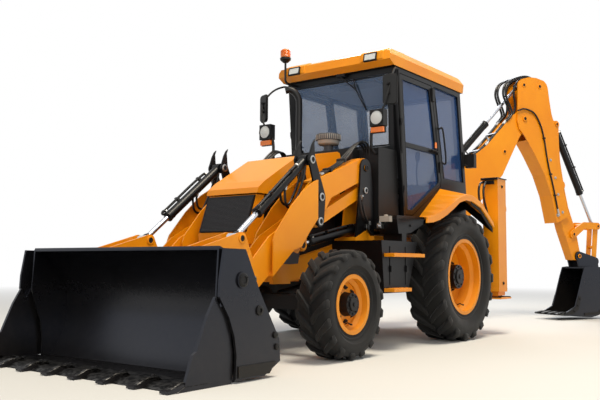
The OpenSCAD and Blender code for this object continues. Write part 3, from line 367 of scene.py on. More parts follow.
def finish(name, **settings):
    """A material with a Principled shader, its colour as hex and the rest by socket name."""
    material = bpy.data.materials.new(name)
    material.use_nodes = True
    tree = material.node_tree
    shader = tree.nodes["Principled BSDF"]
    for key, value in settings.items():
        shader.inputs[key.replace("_", " ").title().replace("Ior", "IOR")].default_value = (
            linear(value) if isinstance(value, str) else value)
    return material, tree, shader


MM = 0.001
# a Mix node's colour sockets have the names of its number sockets, so they go by number
MIX_A, MIX_B, MIX_OUT = 6, 7, 2


def pattern(tree, size_mm, detail=4.0, roughness=0.5, stretch=(1, 1, 1)):
    """Noise over the object with features of a real size in millimetres."""
    place = add(tree, "ShaderNodeTexCoord").outputs["Object"]
    if stretch != (1, 1, 1):
        place = add(tree, "ShaderNodeMapping", {"Vector": place, "Scale": stretch}).outputs[0]
    return add(tree, "ShaderNodeTexNoise", {"Vector": place, "Scale": 1 / (size_mm * MM),
                                            "Detail": detail, "Roughness": roughness}).outputs["Fac"]


def two_tone(tree, value, low, high, first, last, most=1.0):
    """The first colour, and as the value goes from low to high, up to that share of the last."""
    share = add(tree, "ShaderNodeMapRange",
                {"Value": value, "From Min": low, "From Max": high, "To Max": most}).outputs[0]
    return add(tree, "ShaderNodeMix", {0: share, MIX_A: first, MIX_B: last},
               data_type="RGBA").outputs[MIX_OUT]


def grained(tree, shader, size_mm, depth_mm, strength, detail=2.0, roughness=0.5, onto="Normal"):
    """Relief of soft grains, their size and depth in millimetres."""
    add(tree, "ShaderNodeBump", {"Height": pattern(tree, size_mm, detail, roughness),
                                 "Distance": depth_mm * MM, "Strength": strength}, shader.inputs[onto])


def pebbled(tree, shader, size_mm, depth_mm, strength):
    """Relief of small cells, their size and depth in millimetres."""
    place = add(tree, "ShaderNodeTexCoord").outputs["Object"]
    cells = add(tree, "ShaderNodeTexVoronoi", {"Vector": place, "Scale": 1 / (size_mm * MM)})
    add(tree, "ShaderNodeBump", {"Height": cells.outputs["Distance"], "Distance": depth_mm * MM,
                                 "Strength": strength}, shader.inputs["Normal"])


def paint(name, colour, deep, gloss, coat, shine=0.3, dirt=0.22, cast="#ffffff"):
    """Two-pack enamel sprayed on steel: even colour under a clear gloss with a faint orange peel."""
    # The last colour tints the enamel's reflections: white leaves them plain, and the bucket's pale blue is a
    # painted blue sky reflection.
    material, tree, shader = finish(name, roughness=gloss, coat_weight=coat, coat_roughness=0.08,
                                    specular_ior_level=shine, specular_tint=cast)
    body = two_tone(tree, pattern(tree, 420, 3.0), 0.3, 0.7, colour, deep)
    # road dust settles on the lowest metre
    place = add(tree, "ShaderNodeTexCoord").outputs["Object"]
    height = add(tree, "ShaderNodeSeparateXYZ", {0: place}).outputs["Z"]
    low = add(tree, "ShaderNodeMapRange", {"Value": height, "From Min": 0.15, "From Max": 0.9,
                                           "To Min": dirt, "To Max": 0.0}).outputs[0]
    dust = add(tree, "ShaderNodeMath", {0: low, 1: pattern(tree, 60, 6.0, 0.65)},
               operation="MULTIPLY").outputs[0]
    dusty = add(tree, "ShaderNodeMix", {0: dust, MIX_A: body, MIX_B: "#8a8074"}, data_type="RGBA")
    tree.links.new(dusty.outputs[MIX_OUT], shader.inputs["Base Color"])
    add(tree, "ShaderNodeMapRange", {"Value": dust, "From Max": 0.15, "To Min": gloss,
                                     "To Max": gloss + 0.25}, shader.inputs["Roughness"])
    grained(tree, shader, 7, 0.12, 0.25, onto="Coat Normal")
    return material


def cast_iron():
    """Cast iron under thin matt black: fine sand grain."""
    material, tree, shader = finish("cast_iron", roughness=0.62, specular_ior_level=0.3)
    tree.links.new(two_tone(tree, pattern(tree, 9, 5.0, 0.6), 0.35, 0.7, "#0d0d0f", "#1b1b1d"),
                   shader.inputs["Base Color"])
    grained(tree, shader, 9, 0.6, 0.5, 5.0, 0.6)
    return material


def chrome():
    """Hard chrome on ground rod: a mirror with faint cloudy wear."""
    material, tree, shader = finish("hard_chrome", base_color="#c9ccd2", metallic=1.0)
    add(tree, "ShaderNodeMapRange", {"Value": pattern(tree, 30, 4.0, 0.6), "From Min": 0.3, "From Max": 0.7,
                                     "To Min": 0.08, "To Max": 0.2}, shader.inputs["Roughness"])
    return material


def tyre_rubber():
    """Moulded tyre rubber: dull black, greyer where dust lies in its grain."""
    material, tree, shader = finish("tyre_rubber", roughness=0.72, sheen_weight=0.06,
                                    sheen_roughness=0.5, specular_ior_level=0.3)
    cloud = pattern(tree, 140, 6.0, 0.62)
    tree.links.new(two_tone(tree, cloud, 0.48, 0.72, "#0b0b0c", "#232120", 0.55),
                   shader.inputs["Base Color"])
    add(tree, "ShaderNodeMapRange", {"Value": cloud, "From Min": 0.3, "From Max": 0.7,
                                     "To Min": 0.6, "To Max": 0.85}, shader.inputs["Roughness"])
    grained(tree, shader, 14, 0.8, 0.45, 6.0, 0.7)
    return material


def hose_rubber():
    """Wire braided hose with a smooth extruded cover."""
    material, tree, shader = finish("hose_cover", base_color="#060607", roughness=0.36,
                                    specular_ior_level=0.35)
    grained(tree, shader, 3, 0.15, 0.4)
    return material


def moulded(name, colour, roughness=0.5):
    """Injection moulded plastic with a leather grain."""
    material, tree, shader = finish(name, base_color=colour, roughness=roughness, specular_ior_level=0.3)
    # the grain is drawn at 4 mm, coarser than real, so that it shows
    pebbled(tree, shader, 4.0, 0.25, 0.5)
    return material


def vinyl():
    """Seat vinyl: soft black sheet with a pebbled grain."""
    material, tree, shader = finish("seat_vinyl", base_color="#121214", roughness=0.48,
                                    sheen_weight=0.2)
    # pebbles of 5.6 mm, coarser than real, so that they show
    pebbled(tree, shader, 5.5556, 0.5, 0.6)
    return material


def zinc():
    """Zinc plated steel fittings: pale grey with a patchy bloom."""
    material, tree, shader = finish("zinc_plate", metallic=1.0)
    bloom = pattern(tree, 18, 4.0, 0.6)
    tree.links.new(two_tone(tree, bloom, 0.0, 1.0, "#9a9da1", "#c4c5c2"), shader.inputs["Base Color"])
    add(tree, "ShaderNodeMapRange", {"Value": bloom, "From Min": 0.3, "From Max": 0.7,
                                     "To Min": 0.28, "To Max": 0.45}, shader.inputs["Roughness"])
    return material


def window_glass(name, colour, veil):
    """Blue safety glass, its colour a tint together with a painted blue sky reflection: clear face on, mirror
    bright at a glancing angle.
    """
    material, tree, shader = finish(name, roughness=0.03, base_color=colour, specular_ior_level=0.5)
    facing = add(tree, "ShaderNodeLayerWeight", {"Blend": 0.35}).outputs["Facing"]
    add(tree, "ShaderNodeMapRange", {"Value": facing, "To Min": veil, "To Max": 0.95},
        shader.inputs["Alpha"])
    return material


def lamp_glass(name, colour):
    """Pressed lamp lens: fine flutes under a polished face."""
    material, tree, shader = finish(name, base_color=colour, roughness=0.2, coat_weight=0.3,
                                    coat_roughness=0.04)
    place = add(tree, "ShaderNodeTexCoord").outputs["Object"]
    # this scale draws a flute about every 17 mm, coarser than real, so that it shows
    flutes = add(tree, "ShaderNodeTexWave", {"Vector": place, "Scale": 18.0}, bands_direction="Y")
    add(tree, "ShaderNodeBump", {"Height": flutes.outputs["Fac"], "Distance": 1.2 * MM, "Strength": 0.6},
        shader.inputs["Normal"])
    return material


def mirror_glass():
    """Silvered glass."""
    return finish("mirror_silver", base_color="#d5dade", metallic=1.0, roughness=0.03)[0]


def worn_steel():
    """Cutting edge steel: black paint polished off along the wear face."""
    material, tree, shader = finish("edge_steel", metallic=0.85)
    wear = pattern(tree, 45, 6.0, 0.65, (1, 1, 3))
    tree.links.new(two_tone(tree, wear, 0.45, 0.6, "#0d0d0e", "#565554"), shader.inputs["Base Color"])
    add(tree, "ShaderNodeMapRange", {"Value": wear, "From Min": 0.3, "From Max": 0.7,
                                     "To Min": 0.5, "To Max": 0.3}, shader.inputs["Roughness"])
    return material


def grille_black():
    """Woven wire under satin black powder."""
    material, tree, shader = finish("wire_black", base_color="#46464a", roughness=0.45,
                                    specular_ior_level=0.4)
    grained(tree, shader, 4, 0.2, 0.3)
    return material


def make_finishes(colours):
    """Every material of the machine by its plain name."""
    return {
        "orange": paint("orange_enamel", colours["orange"], colours["orange_deep"], 0.40, 0.12),
        "black": paint("black_enamel", colours["black"], "#0b0b0d", 0.34, 0.0, 0.25, 0.07),
        # bucket: black enamel with a faintly blue deep tone, its reflections tinted blue as a painted sky
        # sheen
        "bucket": paint("black_enamel_painted_blue_sheen", colours["black"], "#0b0c10", 0.25, 0.0, 0.55, 0.07,
                        "#c2cce6"),
        "iron": cast_iron(), "chrome": chrome(), "rubber": tyre_rubber(), "hose": hose_rubber(),
        "plastic": moulded("black_plastic", "#0b0b0c"), "vinyl": vinyl(), "zinc": zinc(),
        # Both glasses' blue colours are partly a tint and partly a painted blue sky reflection, deepest on
        # the side and rear panes.
        "glass": window_glass("clear_glass", "#86a6d4", 0.09),
        "tinted": window_glass("glass_tint_and_painted_sky", "#2c4c80", 0.36),
        "mirror": mirror_glass(), "edge": worn_steel(),
        "lens": lamp_glass("clear_lens", "#cfd3d2"), "amber": lamp_glass("amber_lens", "#ee7a10"),
        "red": lamp_glass("red_lens", "#a3180f"), "mesh": grille_black(),
        "bowl": moulded("grey_bowl", "#a9a39a", 0.4), "dash": moulded("grey_dash", "#4a4a4d"),
        "lining": moulded("pale_lining", "#77777a", 0.7),
    }


# Which finish a CAD node's slot gets
SLOT_FINISH = {"orange_paint": "orange", "black_paint": "black", "dark_cast": "iron",
               "chrome_rod": "chrome", "rubber": "rubber", "glass": "glass", "plastic": "plastic",
               "vinyl": "vinyl"}


# Sizes and colours that a user would change

class LoaderColours(bpy.types.PropertyGroup):
    """Colours of the paint and the floor"""
    orange: FloatVectorProperty(name="Orange", description="Enamel of the bodywork and booms",
                                subtype="COLOR", size=4, default=linear("#ec960c"), min=0, max=1)
    orange_deep: FloatVectorProperty(name="Deep orange", description="Where the enamel lies thicker",
                                     subtype="COLOR", size=4, default=linear("#e58a08"), min=0, max=1)
    black: FloatVectorProperty(name="Black", description="Enamel of cab, cylinders and buckets",
                               subtype="COLOR", size=4, default=linear("#050507"), min=0, max=1)
    floor: FloatVectorProperty(name="Floor", description="Studio floor", subtype="COLOR", size=4,
                               default=linear("#d9d9d6"), min=0, max=1)


class LoaderSizes(bpy.types.PropertyGroup):
    """Sizes of the fittings that repeat"""
    rear_lugs: IntProperty(name="Rear lugs", description="Lugs in each half of a rear tyre",
                           default=19, min=12, max=30)
    front_lugs: IntProperty(name="Front lugs", description="Lugs in each half of a front tyre",
                            default=17, min=12, max=30)
    front_nuts: IntProperty(name="Front wheel nuts", description="Nuts round a front hub",
                            default=8, min=5, max=12)
    rear_nuts: IntProperty(name="Rear wheel nuts", description="Nuts round a rear hub",
                           default=10, min=5, max=14)
    wire_pitch: FloatProperty(name="Grille pitch", description="Spacing of the grille's wires",
                              default=0.012, min=0.006, max=0.05, unit="LENGTH")
    hose_radius: FloatProperty(name="Hose radius", description="Radius of a hydraulic hose",
                               default=0.011, min=0.006, max=0.02, unit="LENGTH")


def sizes():
    """The sizes as they are set in the scene."""
    return bpy.context.scene.loader_sizes


# Wheels

# x and y of each wheel, tread radius, width, seat radius and lug height, from the part's source
FRONT_TYRE = {"x": 2.17, "y": 0.955, "radius": 0.47, "width": 0.32, "seat": 0.235, "lug": 0.026}
REAR_TYRE = {"x": 0, "y": 0.94, "radius": 0.685, "width": 0.42, "seat": 0.385, "lug": 0.032}
# hub radius, place of the disc's outer face and of the hub's end along the axle
FRONT_HUB = {"radius": 0.105, "disc": 0.029, "end": 0.12}
REAR_HUB = {"radius": 0.14, "disc": -0.051, "end": 0.09}
# from a hub's edge to the middle of its ring of nuts, and the small bolts in each hub's cover
NUT_GAP, HUB_BOLTS = 0.037, 10


def wheels():
    """Name, side, centre and sizes of each wheel."""
    for axle, tyre, hub in (("front_", FRONT_TYRE, FRONT_HUB), ("rear_", REAR_TYRE, REAR_HUB)):
        for word, side in SIDES:
            yield axle + word, side, at(tyre["x"], side * tyre["y"], tyre["radius"]), tyre, hub


def carcass(tyre, centre):
    """The tyre without its lugs: beads, bulging walls and the crown."""
    r, w, seat = tyre["radius"], tyre["width"], tyre["seat"]
    tall, base = r - seat, r - tyre["lug"]
    half = [(seat, 0.36), (seat + 0.02, 0.385), (seat + 0.045, 0.375), (seat + 0.055, 0.405),
            (seat + 0.075, 0.405), (seat + 0.085, 0.43), (seat + tall * 0.42, 0.488),
            (seat + tall * 0.56, 0.496), (seat + tall * 0.7, 0.486), (base - 0.03, 0.468),
            (base - 0.012, 0.445), (base - 0.002, 0.40), (base, 0.2)]
    ring = [(a, b * w) for a, b in half] + [(a, -b * w) for a, b in reversed(half)]
    return Solid("rubber").turned(ring, centre, Y, 96, closed=True)


def lug(tyre, centre, half, pitch, phase):
    """One lug, from the middle of the tread back to the shoulder and down on to the wall."""
    r, w = tyre["radius"], tyre["width"]
    tall, base = r - tyre["seat"], r - tyre["lug"]
    # share of the half width and radius of top and foot, share of the slant, width against the pitch
    stations = ((0.012, r, 0.012, base - 0.006, 0.0, 0.9), (0.15, r, 0.15, base - 0.006, 0.36, 0.9),
                (0.30, r - 0.001, 0.30, base - 0.006, 0.68, 0.96),
                (0.425, r - 0.004, 0.41, base - 0.01, 0.92, 1.05),
                (0.492, r - 0.022, 0.45, base - 0.02, 1.02, 1.1),
                (0.510, base - 0.03, 0.46, base - 0.035, 1.05, 1.1),
                (0.503, r - tall * 0.27, 0.48, r - tall * 0.28, 1.06, 0.9))
    slant = math.radians(300) * pitch / (2 * math.pi)
    outlines = []
    for top_y, top_r, foot_y, foot_r, turn, wide in stations:
        outline = []
        for share, y, radius in ((-0.25, foot_y, foot_r), (-0.17, top_y, top_r), (0.17, top_y, top_r),
                                 (0.25, foot_y, foot_r)):
            a = phase - slant * turn + share * wide * pitch
            outline.append(centre + Y * half * y * w + (X * math.sin(a) + Z * math.cos(a)) * radius)
        outlines.append(outline)
    return Solid("rubber").lofted(outlines)


class LOADER_OT_tyres(bpy.types.Operator):
    """Tyres with moulded chevron lugs"""
    bl_idname = "loader.tyres"
    bl_label = "Tyres"

    def execute(self, context):
        for name, side, centre, tyre, _ in wheels():
            body = "wheel_" + name
            count = sizes().front_lugs if "front" in name else sizes().rear_lugs
            pitch = 2 * math.pi / count
            wall = piece(carcass(tyre, centre), "tyre_carcass_" + name, body)
            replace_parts(wall, "tyre_" + name)
            for half, phase in ((1, 0.0), (-1, pitch / 2)):
                word = "outer" if half == side else "inner"
                repeated(lug(tyre, centre, half, pitch, phase), f"tyre_lugs_{word}_{name}", body,
                         count, turn=pitch, centre=centre, bevel=0.003)
        return {"FINISHED"}


class LOADER_OT_wheel_fittings(bpy.types.Operator):
    """Wheel nuts, hub covers and tyre valves"""
    bl_idname = "loader.wheel_fittings"
    bl_label = "Wheel fittings"

    def execute(self, context):
        for name, side, centre, tyre, hub in wheels():
            body, out = "wheel_" + name, Y * side
            nuts = sizes().front_nuts if "front" in name else sizes().rear_nuts
            seat = centre + out * hub["disc"] + Z * (hub["radius"] + NUT_GAP)
            nut = Solid("iron").hexagon(seat, out, 0.016, 0.024)
            nut.turned([(0.008, 0), (0.008, 0.034), (0.006, 0.037)], seat, out, 10)
            repeated(nut, "wheel_nuts_" + name, body, nuts, turn=2 * math.pi / nuts,
                     centre=centre)
            end = centre + out * hub["end"]
            r = hub["radius"] * 0.92
            cover = [(0, -0.004), (r * 0.62, -0.004), (r * 0.62, 0.010), (r * 0.56, 0.016), (r * 0.2, 0.016),
                     (r * 0.2, 0.024), (0, 0.026)]
            piece(Solid("black").turned(cover, end, out, 32), "hub_cover_" + name, body,
                  0.0015)
            bolt = end + Z * r * 0.82
            repeated(Solid("iron").hexagon(bolt, out, 0.008, 0.009), "hub_bolts_" + name, body,
                     HUB_BOLTS, turn=2 * math.pi / HUB_BOLTS, centre=centre)
            foot = centre + out * (tyre["width"] * 0.22) - Z * (tyre["seat"] - 0.05) * 0.9 + X * 0.05
            valve = Solid("plastic").hose([foot, foot + out * 0.03 + Z * 0.012, foot + out * 0.06], 0.005)
            valve.bar(foot + out * 0.06, foot + out * 0.075, 0.007, 10)
            piece(valve, "valve_" + name, body)
        return {"FINISHED"}


# Lamps and mirrors

def framed_lens(solid, centre, out, across, up, half_w, half_h, deep, rim, lens):
    """A rectangular lamp: a housing, a rim round its front and a proud lens."""
    corner = centre - across * half_w - up * half_h
    solid.use("plastic")
    solid.block(corner, across * half_w * 2, up * half_h * 2, -out * deep)
    for a, b, wide, high in ((0, 0, half_w * 2, rim), (0, half_h * 2 - rim, half_w * 2, rim),
                             (0, rim, rim, half_h * 2 - 2 * rim),
                             (half_w * 2 - rim, rim, rim, half_h * 2 - 2 * rim)):
        solid.block(corner + across * a + up * b, across * wide, up * high, out * 0.008)
    solid.use(lens)
    inner = corner + across * rim * 1.05 + up * rim * 1.05
    solid.block(inner, across * (half_w * 2 - rim * 2.1), up * (half_h * 2 - rim * 2.1), out * 0.004)


class LOADER_OT_lamps(bpy.types.Operator):
    """Headlamps on bent brackets, work lamps in the roof, beacon and rear lamps"""
    bl_idname = "loader.lamps"
    bl_label = "Lamps"

    def execute(self, context):
        lamp = Solid("plastic", "lens", "amber", "red")
        for _, side in SIDES:
            # headlamp: square shell with a round reflector, amber indicator below
            y = side * 0.728
            face = at(1.213, y, 2.28)
            lamp.use("plastic")
            lamp.block(face + Vector((-0.085, -0.08, -0.085)), X * 0.085, Y * 0.16, Z * 0.17)
            lamp.turned([(0.076, 0), (0.078, 0.008), (0.070, 0.008), (0.068, -0.004)], face, X, 32, True)
            lamp.use("lens")
            lamp.turned([(0, 0.012), (0.035, 0.010), (0.069, 0.002), (0.069, -0.004), (0, -0.004)],
                        face, X, 32)
            lamp.use("amber")
            low = at(1.205, y, 2.16)
            lamp.block(low + Vector((-0.05, -0.072, -0.026)), X * 0.05, Y * 0.144, Z * 0.052)
            lamp.use("plastic")
            lamp.block(low + Vector((-0.058, -0.077, -0.031)), X * 0.03, Y * 0.154, Z * 0.062)
            lamp.hose(on_side(side, ((1.07, 0.64, 1.94), (1.13, 0.64, 1.95), (1.165, 0.64, 2.0),
                                     (1.165, 0.64, 2.12), (1.16, 0.66, 2.22))), 0.016)
            lamp.block(at(1.145, side * 0.69 - 0.045, 2.17), X * 0.02, Y * 0.09, Z * 0.06)
            # work lamp in the corner of the roof's front, leaning with it
            up = Vector((-0.018, 0, 0.084)).normalized()
            out = towards(up.cross(Y), X)
            framed_lens(lamp, at(0.972, side * 0.505, 2.992), out, Y, up, 0.078, 0.045, 0.022, 0.010,
                        "lens")
            # rear work lamp and combination lamp
            framed_lens(lamp, at(-0.815, side * 0.55, 3.0), -X, Y, Z, 0.07, 0.042, 0.03, 0.009, "lens")
            framed_lens(lamp, at(-1.062, side * 1.02, 1.56), -X, Y, Z, 0.06, 0.085, 0.03, 0.007, "red")
        # beacon: bent tube from the windscreen header, black foot and amber dome
        lamp.use("plastic")
        foot = at(0.985, -0.62, 3.135)
        lamp.hose([at(0.80, -0.60, 2.862), at(0.90, -0.615, 2.862), at(0.975, -0.62, 2.885),
                   at(0.985, -0.62, 2.95), at(0.985, -0.62, 3.14)], 0.012)
        lamp.turned([(0.03, -0.03), (0.062, 0), (0.064, 0.022), (0.05, 0.03)], foot, Z, 32)
        lamp.use("amber")
        lamp.turned([(0.052, 0.026), (0.056, 0.04), (0.053, 0.09), (0.045, 0.118), (0.02, 0.13), (0, 0.132)],
                    foot, Z, 32)
        shell = piece(lamp, "lamps", "chassis", 0.003)
        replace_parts(shell, "cab_lamps")
        rib = [(0.0575, 0.0), (0.059, 0.003), (0.0575, 0.006)]
        repeated(Solid("amber").turned(rib, foot + Z * 0.04, Z, 32), "beacon_ribs", "chassis", 6,
                 step=(0, 0, 0.012))
        return {"FINISHED"}


class LOADER_OT_mirrors(bpy.types.Operator):
    """Side mirrors on bent tube brackets"""
    bl_idname = "loader.mirrors"
    bl_label = "Mirrors"

    def execute(self, context):
        work = Solid("plastic", "mirror")
        for _, side in SIDES:
            centre = at(1.10, side * 0.825, 2.575)
            # each head turns its glass in towards the seat
            wide = Vector((side * -0.35, 0.937, 0))
            out = Vector((0.937, side * 0.35, 0))
            # rim, crown behind it and the glass: finish, place and thickness outwards, half sizes, corner
            for kind, start, thick, half_w, half_h, corner in (
                    ("plastic", 0.0, 0.012, 0.076, 0.160, 0.04),
                    ("plastic", 0.012, 0.014, 0.066, 0.150, 0.035),
                    ("mirror", -0.001, -0.002, 0.068, 0.152, 0.034)):
                work.use(kind)
                work.plate([centre + out * start + wide * y + Z * z
                            for y, z in rounded(half_w, half_h, corner, 6)], out * thick)
            work.use("plastic")
            work.hose(on_side(side, ((0.79, 0.700, 2.858), (0.86, 0.745, 2.862), (0.98, 0.795, 2.80),
                                     (1.09, 0.825, 2.68), (1.152, 0.825, 2.53), (1.165, 0.790, 2.40),
                                     (1.160, 0.745, 2.34))), 0.011)
            work.block(at(0.765, side * 0.700 - 0.014, 2.835), X * 0.05, Y * 0.028, Z * 0.045)
            for z in (2.52, 2.62):
                work.block(at(1.112, side * 0.825 - 0.014, z), X * 0.045, Y * 0.028, Z * 0.02)
        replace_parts(piece(work, "mirror_heads", "chassis", 0.003), "mirrors")
        return {"FINISHED"}


def rounded(half_w, half_h, radius, steps):
    """A rectangle's outline with round corners, centred."""
    points = []
    for n, (sx, sy) in enumerate(((1, 1), (-1, 1), (-1, -1), (1, -1))):
        for i in range(steps + 1):
            a = math.radians(90 * (n + i / steps))
            points.append((sx * (half_w - radius) + radius * math.cos(a),
                           sy * (half_h - radius) + radius * math.sin(a)))
    return points


# Engine bay

class LOADER_OT_grille(bpy.types.Operator):
    """Woven wire grille in its frame, leaning back with the nose"""
    bl_idname = "loader.grille"
    bl_label = "Grille"

    def execute(self, context):
        low, high = at(2.668, 0, 1.085), at(2.545, 0, 1.43)
        up = (high - low).normalized()
        out = towards(Y.cross(up), X)
        half, tall = 0.268, (high - low).length - 0.05
        start = low + up * 0.025 + out * 0.0015
        pitch = sizes().wire_pitch
        across, rows = int(2 * half / pitch), int(tall / pitch)
        wire = 0.0016
        upright = Solid("mesh").bar(start - Y * half, start - Y * half + up * tall, wire, 5)
        repeated(upright, "grille_uprights", "chassis", across + 1, step=Y * pitch)
        over = start + out * wire * 1.6
        level = Solid("mesh").bar(over - Y * half, over + Y * half, wire, 5)
        repeated(level, "grille_levels", "chassis", rows + 1, step=up * pitch)
        edge = Solid("black")
        for y in (-half - 0.012, half):
            edge.block(start + Y * y, Y * 0.012, up * tall, out * 0.005)
        for along in (-0.012, tall):
            edge.block(start - Y * (half + 0.012) + up * along, Y * (2 * half + 0.024), up * 0.012,
                       out * 0.005)
        piece(edge, "grille_frame", "chassis", 0.0015)
        return {"FINISHED"}


class LOADER_OT_breathers(bpy.types.Operator):
    """Exhaust stack with its clamp and the air precleaner's bowl"""
    bl_idname = "loader.breathers"
    bl_label = "Exhaust and precleaner"

    def execute(self, context):
        foot = at(1.143, -0.30, 1.9983)
        away = Vector((0.6, -0.8, 0))
        path = [foot, foot + Z * 0.3, foot + Z * 0.56, foot + Z * 0.63 + away * 0.010,
                foot + Z * 0.69 + away * 0.052, foot + Z * 0.715 + away * 0.105,
                foot + Z * 0.705 + away * 0.150]
        stack = Solid("black", "iron").tube(smooth_path(path, 8), 0.036, 24)
        mouth = path[-1] + (path[-1] - path[-2]).normalized() * 0.0005
        stack.use("iron")
        stack.turned([(0.030, 0), (0.030, 0.0004), (0, 0.0004)], mouth, path[-1] - path[-2], 24)
        stack.use("black")
        stack.turned([(0.036, 0), (0.055, 0), (0.055, 0.04), (0.036, 0.045)], foot, Z, 32)
        stack.turned([(0.038, 0), (0.0385, 0.02), (0.038, 0.04)], foot + Z * 0.06, Z, 32)
        stack.bar(foot + Vector((-0.05, 0.035, 0.08)), foot + Vector((0.05, 0.035, 0.08)), 0.005, 8)
        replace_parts(piece(stack, "exhaust_stack", "chassis"), "exhaust")
        base = at(1.010, 0, 2.0103)
        bowl = Solid("dash", "bowl")
        bowl.turned([(0.062, 0), (0.062, 0.022), (0.050, 0.026), (0.050, 0.072), (0.056, 0.076),
                     (0.056, 0.088), (0, 0.088)], base, Z, 48)
        bowl.turned([(0.127, 0.128), (0.134, 0.130), (0.136, 0.185), (0.131, 0.196), (0.060, 0.206),
                     (0.018, 0.208), (0.018, 0.216), (0, 0.217)], base, Z, 48)
        bowl.use("bowl")
        bowl.turned([(0.056, 0.074), (0.100, 0.080), (0.113, 0.092), (0.121, 0.130), (0, 0.130)], base, Z, 48)
        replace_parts(piece(bowl, "precleaner_bowl", "chassis"), "precleaner")
        vane = Solid("bowl").block(base + Vector((-0.0025, 0.128, 0.134)), X * 0.005, Y * 0.0095, Z * 0.052)
        repeated(vane, "precleaner_vanes", "chassis", 36, turn=math.pi / 18,
                 axis=Z, centre=base, bevel=0.001)
        return {"FINISHED"}


# Cab

# door opening and rear side window as seen from the left, from the part's source
DOOR_OPENING = ((0.455, 1.335), (0.622, 1.335), (0.655, 2.010), (0.730, 2.840), (0.005, 2.840),
                (-0.225, 1.780), (-0.205, 1.700), (0.430, 1.350))
SIDE_WINDOW = ((-0.285, 1.800), (-0.055, 2.840), (-0.675, 2.840), (-0.815, 1.800))
# outer face of the cab's side, and the half width that the front and rear panes are sealed to
CAB_FACE, PANE_HALF = 0.7195, 0.61


def shrunk(outline, by):
    """An anticlockwise outline with each edge moved inwards."""
    points = [Vector(p) for p in outline]
    inner = []
    for i, b in enumerate(points):
        a, c = points[i - 1], points[(i + 1) % len(points)]
        first, last = (b - a).normalized(), (c - b).normalized()
        n1, n2 = Vector((-first.y, first.x)), Vector((-last.y, last.x))
        inner.append(b + (n1 + n2) * by / (1 + n1.dot(n2)))
    return inner


class LOADER_OT_cab_trim(bpy.types.Operator):
    """Rubber seals, wiper, door latches, reflectors and the pads over the work lamps"""
    bl_idname = "loader.cab_trim"
    bl_label = "Cab trim"

    def execute(self, context):
        seals = Solid("hose")
        for _, side in SIDES:
            seals.seal(flat(side * CAB_FACE, shrunk(SIDE_WINDOW, 0.006)), 0.007)
        for x_low, x_high, z_low, z_high in ((0.760, 0.777, 2.075, 2.828), (-0.855, -0.727, 1.815, 2.828)):
            seals.seal([at(x_low, -PANE_HALF, z_low), at(x_low, PANE_HALF, z_low),
                        at(x_high, PANE_HALF, z_high), at(x_high, -PANE_HALF, z_high)], 0.009)
        piece(seals, "window_seals", "chassis")
        for word, side in SIDES:
            trim = Solid("hose", "plastic")
            trim.seal(flat(side * 0.716, shrunk(DOOR_OPENING, 0.057)), 0.006)
            # pull handle, lock barrel and the strap of the stay
            trim.use("plastic")
            door_face, z = 0.718, 2.088
            trim.hose(on_side(side, ((0.03, 0.745, z), (0.0, 0.760, z), (-0.07, 0.760, z),
                                     (-0.085, 0.742, z))), 0.008)
            trim.turned([(0.013, 0), (0.013, 0.012), (0.009, 0.014), (0, 0.014)],
                        at(0.045, side * door_face, z), Y * side, 18)
            trim.pad(side, (-0.14, door_face, 2.06), (-0.105, 0.742, 2.12))
            piece(trim, "door_trim_" + word, "door_" + word, 0.001)
        work = Solid("plastic", "amber")
        # tubes end a little way out of the cab's face, inside their feet
        foot = 0.722
        for _, side in SIDES:
            work.use("plastic")
            # rear window latch block, hinge covers on the middle pillar and the front pillar's rain rail
            for x, z, tall in ((-0.02, 2.66, 0.15), (-0.19, 1.86, 0.12), (-0.80, 2.0, 0.17)):
                work.box(at(x - 0.028, side * CAB_FACE - 0.006, z),
                         at(x + 0.028, side * CAB_FACE + 0.020, z + tall))
            for rail in (((0.69, 1.98), (0.765, 2.87)), ((0.652, 1.42), (0.722, 2.0))):
                work.tube(flat(side * 0.724, rail), 0.010, 8)
            # grab rail behind the door
            work.hose(on_side(side, ((-0.255, foot, 1.98), (-0.255, 0.765, 2.0), (-0.185, 0.765, 2.35),
                                     (-0.18, foot, 2.37))), 0.010)
            work.use("amber")
            work.pad(side, (-0.115, 0.7165, 2.135), (-0.075, 0.7245, 2.20))
        # lamp housings standing off the rear pillars
        work.use("plastic")
        for _, side in SIDES:
            work.pad(side, (-0.905, 0.735, 1.985), (-0.835, 0.850, 2.150))
            work.hose(on_side(side, ((-0.80, foot, 2.03), (-0.83, 0.75, 2.01), (-0.87, 0.79, 1.99))), 0.012)
            work.hose(on_side(side, ((-0.80, foot, 2.13), (-0.85, 0.73, 2.19), (-0.87, 0.77, 2.14))), 0.008)
        # wiper: pivot under the roof, arm and blade on the windscreen
        work.use("plastic")
        work.box(at(0.80, 0.0, 2.868), at(0.865, 0.11, 2.896))
        work.bar(at(0.80, 0.045, 2.862), at(0.87, 0.045, 2.875), 0.013, 14)
        elbow = at(0.800, 0.215, 2.715)
        work.tube([at(0.862, 0.045, 2.872), at(0.835, 0.10, 2.82), elbow], 0.008, 8)
        work.tube([at(0.806, 0.185, 2.835), elbow, at(0.780, 0.335, 2.48)], 0.007, 8)
        work.plate([at(0.798, 0.190, 2.84), at(0.773, 0.345, 2.46), at(0.765, 0.345, 2.46),
                    at(0.788, 0.190, 2.84)], Vector((0.001, 0.006, 0.0)))
        piece(work, "cab_fittings", "chassis", 0.0025)
        pads = Solid("orange")
        for _, side in SIDES:
            profile = ((0.966, 2.950), (0.953, 3.040), (0.935, 3.055), (0.832, 3.097), (0.50, 3.108),
                       (0.50, 3.06), (0.80, 3.0))
            pads.plate(flat(min(side * 0.37, side * 0.66), profile), Y * 0.29)
        piece(pads, "roof_pads", "chassis", 0.012)
        lining = Solid("lining", "dash").box(at(-0.66, -0.65, 2.872), at(0.70, 0.65, 2.889))
        lining.use("dash")
        lining.box(at(0.30, -0.30, 2.845), at(0.56, 0.30, 2.871))
        piece(lining, "headlining", "chassis", 0.008)
        return {"FINISHED"}


# Operator's place

FLOOR_Z = 1.1643


